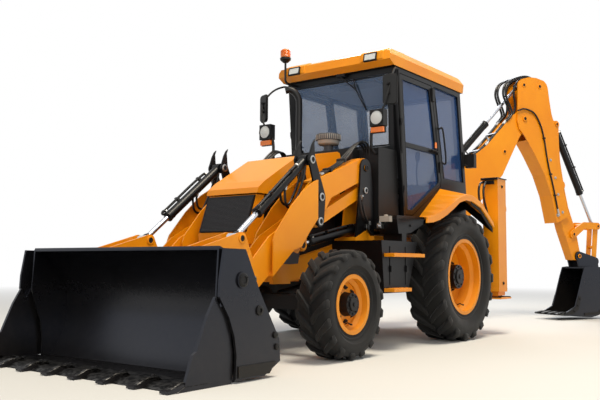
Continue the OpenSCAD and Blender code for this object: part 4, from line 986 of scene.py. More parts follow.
def cushion(name, centre, along, across, thick, channels):
    """A crowned cushion with pulled-in sides: half sizes as vectors, sewn channels across its length."""
    solid = Solid("vinyl")
    bmesh.ops.create_cube(solid.mesh, size=2.0)
    bmesh.ops.subdivide_edges(solid.mesh, edges=solid.mesh.edges[:], cuts=15, use_grid_fill=True)
    for vert in solid.mesh.verts:
        u, v, w = vert.co
        # corners stay out while the sides between them pull in, and the top swells in the middle
        pull = 1 - 0.045 * (1 - min(abs(u), abs(v)) ** 2) * max(abs(u), abs(v)) ** 4
        ball = (abs(u) ** 8 + abs(v) ** 8 + abs(w) ** 3) ** 0.125
        round_off = 1 / max(1.0, ball)
        swell = (1 - u ** 4) * (1 - v ** 4)
        groove = sum(math.exp(-((u - c) / 0.035) ** 2) for c in channels)
        edge = 0.72 + 0.28 * swell - 0.13 * groove * (1 - v ** 8)
        u, v = u * pull * round_off, v * pull * round_off
        vert.co = centre + along * u + across * v + thick * (w * (edge if w > 0 else 0.8))
    bmesh.ops.recalc_face_normals(solid.mesh, faces=solid.mesh.faces[:])
    obj = piece(solid, name, "chassis")
    fine = obj.modifiers.new("fine", "SUBSURF")
    fine.levels = fine.render_levels = 1
    smooth(obj.data, 180)
    return obj


class LOADER_OT_operator_place(bpy.types.Operator):
    """Seat with sewn cushions, steering wheel, dashboard and the backhoe's levers"""
    bl_idname = "loader.operator_place"
    bl_label = "Operator's place"

    def execute(self, context):
        lean = Vector((-0.14, 0, 0.99)).normalized()
        front = towards(lean.cross(Y), X)
        base = cushion("seat_cushion", at(0.065, 0, 1.612), X * 0.232, Y * 0.225, Z * 0.060,
                       (-0.4, 0.1, 0.55))
        back = cushion("seat_back", at(-0.235, 0, 1.935), lean * 0.285, Y * 0.210, front * 0.055,
                       (-0.5, -0.05, 0.4))
        # base plate, bellows, seat pan, armrests and the back's side bars
        under = Solid("plastic").box(at(-0.05, -0.15, FLOOR_Z), at(0.19, 0.15, FLOOR_Z + 0.06))
        for i in range(6):
            z, half = 1.23 + i * 0.048, 0.145 - (i % 2) * 0.012
            under.box(at(0.07 - half * 0.8, -half, z), at(0.07 + half * 0.8, half, z + 0.046))
        under.box(at(-0.14, -0.205, 1.52), at(0.27, 0.205, 1.553))
        for side in (-1, 1):
            under.hose(on_side(side, ((-0.20, 0.235, 1.72), (-0.10, 0.245, 1.80), (0.05, 0.245, 1.81),
                                      (0.16, 0.245, 1.80))), 0.022, 12)
            under.box(at(-0.25, side * 0.225 - 0.008, 1.56), at(-0.19, side * 0.225 + 0.008, 1.80))
        suspension = piece(under, "seat_suspension", "chassis", 0.006)
        for obj in (suspension, base, back):
            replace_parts(obj, "seat")
        dash = Solid("dash", "lens")
        dash.plate(flat(-0.24, ((0.645, 1.80), (0.49, 1.80), (0.47, 1.84), (0.50, 1.90), (0.60, 1.93),
                                (0.645, 1.88))), Y * 0.48)
        dash.turned([(0.022, 0), (0.034, 0.03), (0.030, 0.26), (0, 0.27)], at(0.548, 0, 1.80),
                    at(0.43, 0, 2.05) - at(0.56, 0, 1.79), 20)
        hub = at(0.435, 0, 2.03)
        tilt = Vector((-0.438, 0, 0.899))
        dash.turned([(0.05, -0.015), (0.055, 0.01), (0.03, 0.032), (0, 0.034)], hub, tilt, 24)
        # loader lever with its moulded grip, pedals and the two backhoe levers behind
        for foot, top in ((at(0.30, -0.36, 1.60), at(0.42, -0.385, 2.32)),
                          (at(-0.25, 0.40, 1.72), at(-0.33, 0.36, 2.08)),
                          (at(-0.25, -0.40, 1.72), at(-0.33, -0.36, 2.08))):
            dash.hose([foot, foot.lerp(top, 0.5) + X * 0.03, top], 0.010)
            dash.turned([(0.014, -0.05), (0.027, -0.02), (0.030, 0.03), (0.024, 0.075), (0, 0.085)], top,
                        top - foot, 16)
        dash.box(at(0.24, -0.42, FLOOR_Z), at(0.36, -0.31, 1.62))
        for y in (-0.16, -0.04, 0.08):
            dash.plate(flat(y, ((0.47, 1.22), (0.42, 1.30), (0.41, 1.29), (0.46, 1.21))), Y * 0.07)
        dash.use("lens")
        for y in (-0.12, 0.0, 0.12):
            face = at(0.487, y, 1.868)
            dash.turned([(0.042, 0), (0.042, 0.006), (0.036, 0.006), (0.034, 0.002), (0, 0.002)], face,
                        Vector((-0.9, 0, 0.45)), 28)
        piece(dash, "dashboard", "chassis", 0.006)
        return {"FINISHED"}


# Loader

# middle of each arm, then its pivots and the cylinders' eyes as x and z, from the part's source
ARM_Y = 0.54
PIVOT, LEVER_PIN, LEVER_FOOT, LEVER_TOP = (1.25, 1.77), (2.015, 1.425), (2.025, 1.20), (2.155, 1.755)
TILT_EYE, BUCKET_PIN = (3.10, 1.012), (2.96, 0.682)
LIFT_FOOT, LIFT_EYE = (1.225, 1.18), (2.26, 0.98)
TIE_FOOT = (1.26, 1.545)
# how far pins stand out of the middle of an arm: through the arm, the lever's plates, a link's plates
ARM_REACH, LEVER_REACH, LINK_REACH = 0.095, 0.089, 0.093


def pin_ends(name, body, places, r, collar="zinc"):
    """Ends of greased pins at (place, direction) pairs: a turned collar round a dark, drilled face."""
    solid = Solid("iron", collar)
    for place, out in places:
        solid.use(collar)
        solid.turned([(r * 1.12, 0), (r * 1.12, 0.006), (r * 0.95, 0.009), (r * 0.72, 0.009),
                      (r * 0.70, 0)], place, out, 28, True)
        solid.use("iron")
        solid.turned([(r * 0.72, 0), (r * 0.70, 0.005), (r * 0.22, 0.005), (r * 0.18, 0.001), (0, 0.001)],
                     place, out, 24)
    return piece(solid, name, body)


def both_faces(point, reach, inner=True):
    """Places and directions of a pin's ends, so far out of the middle of both loader arms."""
    x, z = point
    for _, side in SIDES:
        yield at(x, side * (ARM_Y + reach), z), Y * side
        if inner:
            yield at(x, side * (ARM_Y - reach), z), -Y * side


def ram_pipe(solid, foot, u, up, across, route, size, clips, unions):
    """Steel pipe along a cylinder, held by two clips, with a union at each end.

    The route is (along, above the axis), clips (shares of the length, half width, foot, height, length)
    and unions (places along, height above the axis, radius, height).
    """
    solid.use("black")
    solid.hose([foot + u * along + up * above for along, above in route], size)
    for along in clips[0]:
        solid.block(foot + u * along + up * clips[2] - across * clips[1], u * clips[4], across * clips[1] * 2,
                    up * clips[3])
    solid.use("zinc")
    for along in unions[0]:
        solid.hexagon(foot + u * along + up * unions[1], up, unions[2], unions[3])


def rod_collar(solid, eye, u, length):
    """Weld collar where a rod meets its eye."""
    return solid.turned([(0.0255, -length), (0.036, -0.050), (0.040, -0.030), (0.0255, -0.025)], eye, u, 28,
                        True)


class LOADER_OT_loader_fittings(bpy.types.Operator):
    """Pins, hoses, pipes and glands of the loader arms and their cylinders"""
    bl_idname = "loader.loader_fittings"
    bl_label = "Loader fittings"

    def execute(self, context):
        pin_ends("arm_pivot_pins", "loader_arms", both_faces(PIVOT, ARM_REACH), 0.030, "black")
        pin_ends("lever_pins", "loader_arms", both_faces(LEVER_PIN, ARM_REACH), 0.034)
        ends = list(both_faces(LEVER_FOOT, LEVER_REACH, False)) + list(both_faces(LEVER_TOP, LEVER_REACH))
        pin_ends("lever_end_pins", "tilt_levers", ends, 0.034)
        horns = Solid("black")
        for _, side in SIDES:
            for y in (ARM_Y - 0.080, ARM_Y + 0.080):
                outline = ((2.105, 1.770), (2.118, 1.802), (2.128, 1.850), (2.124, 1.905), (2.104, 1.952),
                           (2.136, 1.925), (2.166, 1.872), (2.186, 1.815), (2.195, 1.780))
                horns.plate(flat(side * y - 0.0085, outline), Y * 0.017)
        piece(horns, "lever_horns", "tilt_levers", 0.003)
        pin_ends("tie_pins", "tie_links", both_faces(TIE_FOOT, LINK_REACH), 0.030)
        pin_ends("lift_foot_pins", "lift_barrels", both_faces(LIFT_FOOT, LINK_REACH), 0.030)
        pin_ends("lift_eye_pins", "loader_arms", both_faces(LIFT_EYE, 0.064, False), 0.046,
                 "orange")
        pin_ends("bucket_hinge_pins", "bucket_pins", both_faces(BUCKET_PIN, ARM_REACH), 0.030)
        pin_ends("bucket_ram_pins", "bucket", both_faces(TILT_EYE, LEVER_REACH), 0.036, "orange")
        for name, body, rod_body, foot, eye, length, radius in (
                ("lift", "lift_barrels", "lift_rods", LIFT_FOOT, LIFT_EYE, 0.88, 0.042),
                ("tilt", "tilt_barrels", "tilt_rods", LEVER_TOP, TILT_EYE, 0.84, 0.043)):
            pipes, eyes = Solid("black", "zinc"), Solid("black")
            for _, side in SIDES:
                a, b = at(foot[0], side * ARM_Y, foot[1]), at(eye[0], side * ARM_Y, eye[1])
                u = (b - a).normalized()
                up = (towards(u.cross(Y).normalized(), Z) + Y * side * 0.55).normalized()
                seat, pipe = radius * 0.98, radius + 0.019
                route = ((0.16, seat * 0.9), (0.165, pipe - 0.012), (0.20, pipe),
                         (length * 0.5, pipe + 0.004), (length - 0.06, pipe), (length - 0.005, pipe + 0.006),
                         (length + 0.018, pipe - 0.008), (length - 0.005, pipe - 0.022),
                         (length - 0.035, seat * 0.9))
                ram_pipe(pipes, a, u, up, Y, route, 0.0125,
                         ((length * 0.30, length * 0.72), 0.018, radius * 0.7, radius * 0.3 + 0.034, 0.026),
                         ((0.16, length - 0.035), seat * 0.75, 0.014, 0.03))
                # gland nut with its wiper lip
                pipes.use("black")
                pipes.turned([(radius * 1.07, -0.012), (radius * 1.14, -0.008), (radius * 1.14, 0.002),
                              (0.034, 0.012), (0.027, 0.014), (0.027, -0.012)], a + u * length, u, 32, True)
                rod_collar(eyes, b, u, 0.075)
            piece(pipes, name + "_pipes", body, 0.001)
            piece(eyes, name + "_rod_eyes", rod_body)
        # three hoses a side, from the cowl over the arm's pivot and down the arm
        hose_r = sizes().hose_radius
        for word, side in SIDES:
            bundle = Solid("hose", "zinc")
            for i in range(3):
                y = side * (0.506 + 0.030 * i)
                lift = 0.010 * i
                route = [(1.075, 1.90), (1.10, 1.99 + lift), (1.16, 2.03 + lift), (1.26, 2.02 + lift),
                         (1.36, 1.955 + lift), (1.48, 1.87), (1.60, 1.785), (1.72, 1.728), (1.84, 1.682),
                         (1.93, 1.646)]
                bundle.use("hose")
                bundle.hose(flat(y, route), hose_r)
                bundle.use("zinc")
                bundle.bar(at(1.90, y, 1.658), at(1.945, y, 1.640), hose_r * 1.25, 6)
            bundle.use("hose")
            for x, z in ((1.545, 1.808), (1.78, 1.690)):
                bundle.block(at(x, side * ARM_Y - 0.052, z), Vector((0.024, 0, -0.010)), Y * 0.104, Z * 0.036)
            bent(bundle, "arm_hoses_" + word)
            # hoses from the arm to the tilt cylinder hang in a loop beside the lever
            loops = Solid("hose", "zinc")
            for y, drop in ((0.515, 0.0), (0.565, 0.03)):
                route = [(2.46, 1.490), (2.475, 1.43), (2.45, 1.35 - drop), (2.36, 1.34 - drop),
                         (2.26, 1.47), (2.20, 1.60), (2.175, 1.70)]
                loops.use("hose")
                loops.hose(flat(side * y, route), hose_r)
                loops.use("zinc")
                loops.bar(at(2.458, side * y, 1.50), at(2.470, side * y, 1.455), hose_r * 1.3, 6)
            piece(loops, "tilt_hoses_" + word, "tilt_barrels")
        # hoses down the towers to the lift cylinders
        lower = Solid("hose", "zinc")
        for _, side in SIDES:
            for shift in (0.0, 0.035):
                route = [(1.36, 1.47), (1.345 + shift, 1.40), (1.31 + shift, 1.30), (1.25 + shift, 1.22),
                         (1.24 + shift, 1.15), (1.19, 1.10)]
                lower.use("hose")
                lower.hose(flat(side * (0.652 + shift * 0.6), route), hose_r)
            lower.use("zinc")
            lower.bar(at(1.365, side * 0.655, 1.49), at(1.355, side * 0.655, 1.45), 0.015, 6)
            lower.bar(at(1.248, side * 0.668, 1.24), at(1.246, side * 0.668, 1.20), 0.015, 6)
        piece(lower, "tower_hoses", "chassis")
        return {"FINISHED"}


class LOADER_OT_bucket_fittings(bpy.types.Operator):
    """Cutting edge, bolts, tooth caps and hinge bosses of the loader bucket"""
    bl_idname = "loader.bucket_fittings"
    bl_label = "Bucket fittings"

    def execute(self, context):
        half, teeth, side_face = 1.138, 8, 1.165
        edge = ((3.95, 0.0285), (4.192, 0.0285), (4.255, 0.001), (4.262, 0.004), (4.197, 0.036),
                (3.95, 0.036))
        piece(Solid("edge").plate(flat(-half, edge), Y * half * 2), "cutting_edge", "jaw",
              0.0015)
        gap = (2 * half - 0.08) / (teeth - 1)
        first = at(4.02, -half + 0.04 + gap / 2, 0.036)
        repeated(Solid("iron").hexagon(first - X * 0.02, Z, 0.014, 0.012), "edge_bolts", "jaw",
                 teeth - 1, step=Y * gap)
        tooth = at(0, -half + 0.04, 0)
        cap = ((4.085, 0.037), (4.12, 0.060), (4.215, 0.062), (4.305, 0.030), (4.338, 0.010),
               (4.30, 0.002), (4.23, 0.002), (4.20, 0.030))
        cap = Solid("edge").plate([tooth + Vector((x, -0.030, z)) for x, z in cap], Y * 0.060)
        repeated(cap, "tooth_caps", "jaw", teeth, step=Y * gap, bevel=0.005)
        bolt = tooth + Vector((4.15, 0, 0.0605))
        repeated(Solid("iron").hexagon(bolt, Z, 0.013, 0.011), "tooth_bolts", "jaw", teeth,
                 step=Y * gap)
        plates = Solid("black")
        for _, side in SIDES:
            # hinge boss and stop boss on the side plates, with their lock screws
            out = Y * side
            boss = at(3.695, side * 1.177, 0.699)
            plates.turned([(0.050, -0.010), (0.050, 0.003), (0.042, 0.008), (0.028, 0.008), (0.026, 0.002),
                           (0, 0.002)], boss, out, 40)
            stop = at(3.511, side * side_face, 0.483)
            plates.turned([(0.036, 0), (0.036, 0.010), (0.028, 0.014), (0.016, 0.014), (0.015, 0.006),
                           (0, 0.006)], stop, out, 32)
            for a in (30, 150, 270):
                turn = Vector((math.cos(math.radians(a)), 0, math.sin(math.radians(a))))
                plates.hexagon(boss + turn * 0.038 + out * 0.006, out, 0.005, 0.006)
            # wear plates along the foot of each side
            plates.plate(flat(side * side_face, ((3.40, 0.035), (3.73, 0.035), (3.73, 0.115), (3.33, 0.115))),
                         out * 0.010)
            for x, z in ((3.335, 0.300), (3.315, 0.215)):
                plates.turned([(0.024, 0), (0.024, 0.012), (0.018, 0.016), (0.008, 0.016), (0, 0.010)],
                              at(x, side * side_face, z), out, 24)
        piece(plates, "bucket_side_bosses", "bucket", 0.003)
        return {"FINISHED"}


# Chassis

# first and last x and the top of each step, and the y between which they lie, from the part's source
STEPS = ((0.842, 1.445, 0.912), (1.115, 1.445, 0.582))
STEP_IN, STEP_OUT = 0.951, 1.064
# x and z of the steering cylinder behind the front axle
RACK_X, RACK_Z = 2.03, 0.50


class LOADER_OT_chassis_fittings(bpy.types.Operator):
    """Step treads, tank fittings, axle gear, mudguard flaps, painted shade strips inside the mudguards and a
    painted shade plate over each rail opening
    """
    bl_idname = "loader.chassis_fittings"
    bl_label = "Chassis fittings"

    def execute(self, context):
        # orange treads on the steps, with punched grip holes drawn as raised rings
        treads = Solid("orange")
        for _, side in SIDES:
            for x0, x1, z in STEPS:
                top, foot = z + 0.006, z - 0.028
                treads.pad(side, (x0, STEP_IN, z), (x1, STEP_OUT, top))
                treads.pad(side, (x1 - 0.004, STEP_IN, foot), (x1 + 0.001, STEP_OUT, z))
                treads.pad(side, (x0, STEP_OUT - 0.0045, foot), (x1, STEP_OUT + 0.0005, top))
        piece(treads, "step_treads", "chassis", 0.002)
        for word, side in SIDES:
            for n, (x0, x1, z) in enumerate(STEPS):
                margin, gap = 0.04, 0.048
                ring = Solid("orange").turned([(0.013, 0), (0.012, 0.003), (0.008, 0.003), (0.0075, 0)],
                                              at(x0 + margin, side * 0.985, z + 0.006), Z, 14, True)
                repeated(ring, f"tread_grip_{word}_{n + 1}", "chassis",
                         int((x1 - x0 - margin) / gap), step=X * gap, rows=(2, Y * side * 0.045))
        caps = Solid("bowl", "zinc", "black")
        # filler cap and valve beside the left tank's moulded box
        caps.box(at(1.209, 0.790, 1.228), at(1.262, 0.905, 1.284))
        caps.turned([(0.020, 0), (0.020, 0.014), (0, 0.016)], at(1.236, 0.85, 1.284), Z, 24)
        caps.use("zinc")
        caps.box(at(1.190, 0.752, 1.165), at(1.250, 0.800, 1.215))
        caps.hexagon(at(1.250, 0.776, 1.187), X, 0.016, 0.024)
        caps.hexagon(at(1.225, 0.776, 1.215), Z, 0.013, 0.026)
        caps.use("black")
        caps.plate(flat(0.734, ((1.213, 1.256), (1.210, 1.291), (0.652, 1.298), (0.653, 1.263))), Y * 0.224)
        caps.hexagon(at(0.93, 0.9525, 1.20), Y, 0.010, 0.010)
        for _, side in SIDES:
            # tank lids with straps and toggle latches
            face = 0.9502
            for x in (1.02, 1.32):
                caps.pad(side, (x - 0.02, face, 0.615), (x + 0.02, face + 0.006, 0.985))
                caps.pad(side, (x - 0.016, face, 0.74), (x + 0.016, face + 0.018, 0.80))
        piece(caps, "tank_fittings", "chassis", 0.003)
        gear = Solid("iron", "chrome")
        # steering cylinder, its end caps and lugs, its rod and the ball joints
        for kind, y_low, y_high, radius, steps in (
                ("iron", -0.27, 0.27, 0.038, 24), ("iron", -0.30, -0.26, 0.045, 24),
                ("iron", 0.26, 0.30, 0.045, 24), ("chrome", -0.56, 0.56, 0.018, 20)):
            gear.use(kind)
            gear.bar(at(RACK_X, y_low, RACK_Z), at(RACK_X, y_high, RACK_Z), radius, steps)
        gear.use("iron")
        for y in (-0.2, 0.2):
            gear.box(at(2.02, y - 0.02, 0.43), at(2.10, y + 0.02, 0.535))
        for y in (-0.56, 0.56):
            gear.turned([(0.0, -0.03), (0.022, -0.024), (0.028, 0), (0.022, 0.024), (0, 0.03)],
                        at(RACK_X, y, RACK_Z), Z, 20)
        # drain and filler plugs on the axles' bulges
        gear.hexagon(at(2.335, 0.0, 0.47), X, 0.020, 0.016)
        gear.hexagon(at(-0.214, 0.0, 0.685), -X, 0.024, 0.018)
        piece(gear, "axle_gear", "chassis", 0.002)
        cover = at(-0.195, 0, 0.685)
        repeated(Solid("iron").hexagon(cover + Z * 0.08, -X, 0.011, 0.012), "axle_cover_bolts", "chassis",
                 10, turn=math.pi / 5, axis=X, centre=cover)
        flaps_and_shade_strips, panel = Solid("rubber"), Solid("mesh")
        for _, side in SIDES:
            # rubber flap behind each mudguard, and inside its skirt a dark rubber strip that is painted shade
            # of the mudguard's inside
            flaps_and_shade_strips.plate(on_side(side, ((-0.850, 0.720, 1.590), (-0.730, 1.112, 1.285),
                                       (-0.740, 1.112, 1.190), (-0.860, 0.720, 1.480))), X * 0.009)
            strip = ((-0.735, 1.262), (-0.513, 1.395), (-0.378, 1.470), (-0.160, 1.522), (-0.160, 1.482),
                     (-0.370, 1.422), (-0.500, 1.335), (-0.740, 1.192))
            flaps_and_shade_strips.plate(flat(side * 1.106, strip), Y * side * 0.010)
            # painted shade: a dark plate in the grille's wire finish fills the opening in the rail behind
            # each arm
            opening = ((2.150, 0.808), (2.275, 0.812), (2.150, 0.925), (2.013, 0.915), (2.040, 0.815))
            panel.plate(flat(side * 0.3805, opening), Y * side * 0.003)
        piece(flaps_and_shade_strips, "mudguard_flaps_and_shade_strips", "chassis", 0.001)
        piece(panel, "rail_openings", "chassis", 0.001)
        return {"FINISHED"}


# y of the middle of each stabiliser's leg, half the width of its housing and of the cap on it
LEG_Y, HOUSING_HALF, CAP_HALF = 1.055, 0.0955, 0.105


class LOADER_OT_stabiliser_fittings(bpy.types.Operator):
    """Caps, hoses and lifting eyes of the stabiliser housings, foot pins and frame bolts"""
    bl_idname = "loader.stabiliser_fittings"
    bl_label = "Stabiliser fittings"

    def execute(self, context):
        work = Solid("hose", "orange", "iron")
        for _, side in SIDES:
            mid = side * LEG_Y
            # black cap plate with a rolled front lip, hoses down the front face
            work.use("hose")
            work.box(at(-1.075, mid - CAP_HALF, 1.8305), at(-0.79, mid + CAP_HALF, 1.842))
            work.box(at(-0.80, mid - CAP_HALF, 1.812), at(-0.79, mid + CAP_HALF, 1.8305))
            for y, bow in ((0.0, 0.0), (-0.045, 0.03)):
                route = [(-0.815, 1.785), (-0.775, 1.79), (-0.715 + bow, 1.76), (-0.675 + bow, 1.68),
                         (-0.690 + bow, 1.57), (-0.755 + bow, 1.46), (-0.790, 1.36), (-0.818, 1.32)]
                work.hose(flat(mid - side * 0.02 + y, route), 0.013)
            work.box(at(-0.822, mid - 0.055, 1.765), at(-0.800, mid + 0.055, 1.805))
            # lifting eye and lamp plate on the rear face
            work.use("orange")
            eye = ((-1.06, 1.42), (-1.095, 1.43), (-1.125, 1.46), (-1.13, 1.495), (-1.115, 1.53),
                   (-1.06, 1.55))
            work.plate(flat(side * 1.12 - 0.009, eye), Y * 0.018)
            for z in (0.53, 1.79):
                work.box(at(-1.064, mid - HOUSING_HALF, z), at(-0.816, mid + HOUSING_HALF, z + 0.012))
            work.box(at(-0.82, mid - HOUSING_HALF, 0.505), at(-0.815, mid + HOUSING_HALF, 0.545))
            work.use("iron")
            work.turned([(0.016, -0.011), (0.016, 0.011)], at(-1.095, side * 1.12, 1.487), Y, 20)
            for z in (1.74, 0.60):
                work.hexagon(at(-0.940, side * 1.1505, z), Y * side, 0.014, 0.014)
        piece(work, "leg_fittings", "chassis", 0.002)
        for word, side in SIDES:
            foot = Solid("iron")
            mid, pad_top = side * LEG_Y, 0.434
            foot.bar(at(-0.94, mid - 0.075, 0.449), at(-0.94, mid + 0.075, 0.449), 0.014, 18)
            for y in (-0.062, 0.052):
                foot.plate(flat(mid + y, ((-1.0, pad_top), (-0.88, pad_top), (-0.91, 0.475),
                                          (-0.97, 0.475))), Y * 0.010)
            for x in (-1.09, -0.80):
                foot.box(at(x, mid - 0.125, pad_top), at(x + 0.010, mid + 0.125, 0.446))
            piece(foot, "foot_pin_" + word, "stabiliser_" + word, 0.002)
        for n, z in enumerate((0.49, 1.165)):
            bolt = at(-1.178, -0.635, z)
            repeated(Solid("iron").hexagon(bolt, -X, 0.020, 0.022), f"clamp_bolts_{n + 1}", "carriage",
                     6, step=Y * 0.094)
        return {"FINISHED"}


# Backhoe

# which of the hoe's two faces the photograph's camera sees, and how far out the dipper's faces are
NEAR, DIPPER_FACE = -1, 0.125
HOE_PINS = (
    # body, place out and up, distance of the face from the middle, radius
    ("boom", 0.660, 2.130, 0.106, 0.030), ("boom", 0.800, 1.800, 0.106, 0.030),
    ("boom", 1.685, 2.469, 0.100, 0.032), ("dipper", 2.065, 3.500, DIPPER_FACE, 0.034),
    ("dipper", 2.385, 3.515, DIPPER_FACE, 0.034),
    ("kingpost", 0.330, 0.750, 0.108, 0.040), ("dipper", 2.070, 2.990, 0.133, 0.037),
    ("hoe_barrel", 2.775, 2.978, 0.083, 0.030), ("dipper_slide", 3.055, 1.292, 0.110, 0.030),
    ("dipper_slide", 3.165, 0.958, 0.110, 0.030), ("hoe_lever", 3.590, 1.430, 0.104, 0.028),
)


class LOADER_OT_hoe_fittings(bpy.types.Operator):
    """Pins, hoses, pipes and wear pad bolts of the boom and dipper"""
    bl_idname = "loader.hoe_fittings"
    bl_label = "Backhoe fittings"

    def execute(self, context):
        for n, (body, r, z, face, radius) in enumerate(HOE_PINS):
            ends = [(hoe(r, z, side * face), HOE_SIDE * side) for side in (-1, 1)]
            pin_ends(f"hoe_pins_{n + 1}", body, ends, radius, "orange")
        # wear pad bolts down the dipper
        bolts = Solid("zinc")
        for side in (-1, 1):
            for r, z in ((2.579, 2.405), (2.671, 2.139), (2.723, 1.888), (2.807, 1.620)):
                bolts.hexagon(hoe(r, z, side * DIPPER_FACE), HOE_SIDE * side, 0.015, 0.016)
        piece(bolts, "wear_pad_bolts", "dipper")
        hose_r = sizes().hose_radius
        # hose over the shoulder and down the near face of the dipper
        down = Solid("hose", "zinc")
        face, off = NEAR * DIPPER_FACE, NEAR * 0.141
        start = [hoe(1.915, 3.095, NEAR * 0.150), hoe(2.06, 3.135, NEAR * 0.145),
                 hoe(2.25, 3.085, NEAR * 0.142)]
        route = ((2.375, 2.915), (2.440, 2.715), (2.475, 2.530), (2.520, 2.310), (2.612, 1.985),
                 (2.680, 1.700), (2.700, 1.610))
        down.hose(start + on_hoe(off, route), hose_r * 1.1)
        for r, z in ((2.440, 2.715), (2.560, 2.175), (2.640, 1.860)):
            down.block(hoe(r - 0.020, z, face), HOE_OUT * 0.040, Z * 0.022, HOE_SIDE * NEAR * 0.032)
        down.use("zinc")
        down.bar(hoe(2.688, 1.665, off), hoe(2.706, 1.585, off), 0.017, 6)
        down.hexagon(hoe(2.706, 1.575, face), HOE_SIDE * NEAR, 0.020, 0.030)
        piece(down, "dipper_hose", "dipper", 0.001)
        # hoses along the boom's back
        back = Solid("hose", "zinc", "black")
        for side, lift in ((-0.088, 0.0), (-0.062, 0.006), (0.062, 0.004), (0.088, 0.0)):
            route = ((0.36, 1.62), (0.47, 1.98), (0.585, 2.205), (0.72, 2.245), (0.90, 2.262 + lift),
                     (1.14, 2.40), (1.35, 2.552 + lift), (1.60, 2.790), (1.72, 2.915))
            back.use("hose")
            back.hose(on_hoe(side, route), hose_r * 1.2)
            back.use("zinc")
            for r, z in ((1.36, 2.562), (1.715, 2.910)):
                back.bar(hoe(r - 0.03, z - 0.028, side), hoe(r + 0.03, z + 0.030, side), hose_r * 1.45, 6)
        back.use("black")
        for r, z in ((0.90, 2.252), (1.20, 2.428), (1.52, 2.702)):
            back.block(hoe(r - 0.015, z - 0.005, -0.098), HOE_OUT * 0.03 + Z * 0.02, HOE_SIDE * 0.196,
                       Z * 0.026)
        # pale cylinder stop bracket standing on the boom
        back.use("zinc")
        back.block(hoe(1.380, 2.600, -0.096), HOE_OUT * 0.05 - Z * 0.045, HOE_SIDE * 0.012,
                   HOE_OUT * -0.03 + Z * 0.08)
        piece(back, "boom_hoses", "boom", 0.001)
        # hoses that loop from the boom's back up to the dipper's head
        loops = Solid("hose")
        outer = ((1.735, 2.93), (1.815, 3.01), (1.834, 3.07), (1.797, 3.16), (1.741, 3.26), (1.714, 3.36),
                 (1.746, 3.47), (1.846, 3.555), (1.99, 3.612), (2.12, 3.640), (2.23, 3.625), (2.30, 3.57))
        inner = ((1.735, 2.93), (1.83, 3.00), (1.892, 3.06), (1.925, 3.19), (1.900, 3.35), (1.935, 3.487),
                 (2.03, 3.585), (2.14, 3.615), (2.22, 3.585))
        for side, route in ((-0.108, outer), (-0.084, inner), (-0.058, outer), (0.058, outer), (0.084, inner),
                            (0.108, outer)):
            loops.hose(on_hoe(side, route), hose_r * 1.45)
        bent(loops, "head_hoses")
        rams = (("boom", (0.800, 1.800), (0.255, 1.080), 0.755, 0.055),
                ("dipper", (0.660, 2.130), (2.050, 3.500), 1.060, 0.050),
                ("hoe", (2.775, 2.978), (3.590, 1.430), 1.180, 0.048))
        for name, foot, eye, length, radius in rams:
            foot, eye, pipes = hoe(*foot), hoe(*eye), Solid("black", "zinc")
            u = (eye - foot).normalized()
            up = (towards(HOE_SIDE.cross(u).normalized(), Z) * 0.8 + HOE_SIDE * NEAR * 0.6).normalized()
            seat, pipe = radius * 0.95, radius + 0.015
            route = ((0.14, seat), (0.15, pipe), (0.20, pipe), (length - 0.10, pipe), (length - 0.05, pipe),
                     (length - 0.04, seat))
            ram_pipe(pipes, foot, u, up, HOE_SIDE, route, 0.012,
                     ((length * 0.3, length * 0.62), 0.016, radius * 0.8, radius * 0.2 + 0.030, 0.024),
                     ((0.14, length - 0.04), seat * 0.9, 0.015, 0.028))
            pipes.use("black")
            pipes.turned([(radius * 1.07, -0.014), (radius * 1.13, -0.008), (radius * 1.13, 0.002),
                          (0.036, 0.014), (0.027, 0.016), (0.027, -0.014)], foot + u * length, u, 32, True)
            piece(pipes, name + "_ram_pipes", name + "_barrel", 0.001)
            if name != "boom":
                piece(rod_collar(Solid("black"), eye, u, 0.070), name + "_ram_collar", name + "_rod")
        return {"FINISHED"}


class LOADER_OT_hoe_bucket_fittings(bpy.types.Operator):
    """Tooth caps, side cutters and wear strips of the backhoe's bucket"""
    bl_idname = "loader.hoe_bucket_fittings"
    bl_label = "Backhoe bucket fittings"

    def execute(self, context):
        half, teeth = 0.230, 4
        first = -half + 0.035
        gap = (2 * half - 0.07) / (teeth - 1)
        cap = Solid("edge").plate(on_hoe(first - 0.032, (
            (2.790, 0.062), (2.700, 0.064), (2.545, 0.080), (2.535, 0.098), (2.550, 0.108), (2.690, 0.126),
            (2.790, 0.114))), HOE_SIDE * 0.064)
        repeated(cap, "hoe_tooth_caps", "hoe_bucket", teeth, step=HOE_SIDE * gap,
                 bevel=0.006)
        cutters = Solid("black", "iron")
        for side in (-1, 1):
            face = side * half
            cutters.use("black")
            cutter = ((2.690, 0.095), (2.915, 0.190), (2.985, 0.360), (3.040, 0.345), (2.975, 0.150),
                      (2.860, 0.085))
            cutters.plate(on_hoe(face, cutter), HOE_SIDE * side * 0.010)
            strip = ((3.10, 0.060), (3.43, 0.072), (3.55, 0.160), (3.64, 0.300), (3.60, 0.310), (3.51, 0.185),
                     (3.40, 0.110), (3.10, 0.100))
            cutters.plate(on_hoe(face, strip), HOE_SIDE * side * 0.008)
            cutters.use("iron")
            for r, z in ((2.88, 0.135), (2.955, 0.215), (3.0, 0.31)):
                cutters.hexagon(hoe(r, z, face + side * 0.010), HOE_SIDE * side, 0.013, 0.012)
        piece(cutters, "side_cutters", "hoe_bucket", 0.002)
        return {"FINISHED"}


# Stage

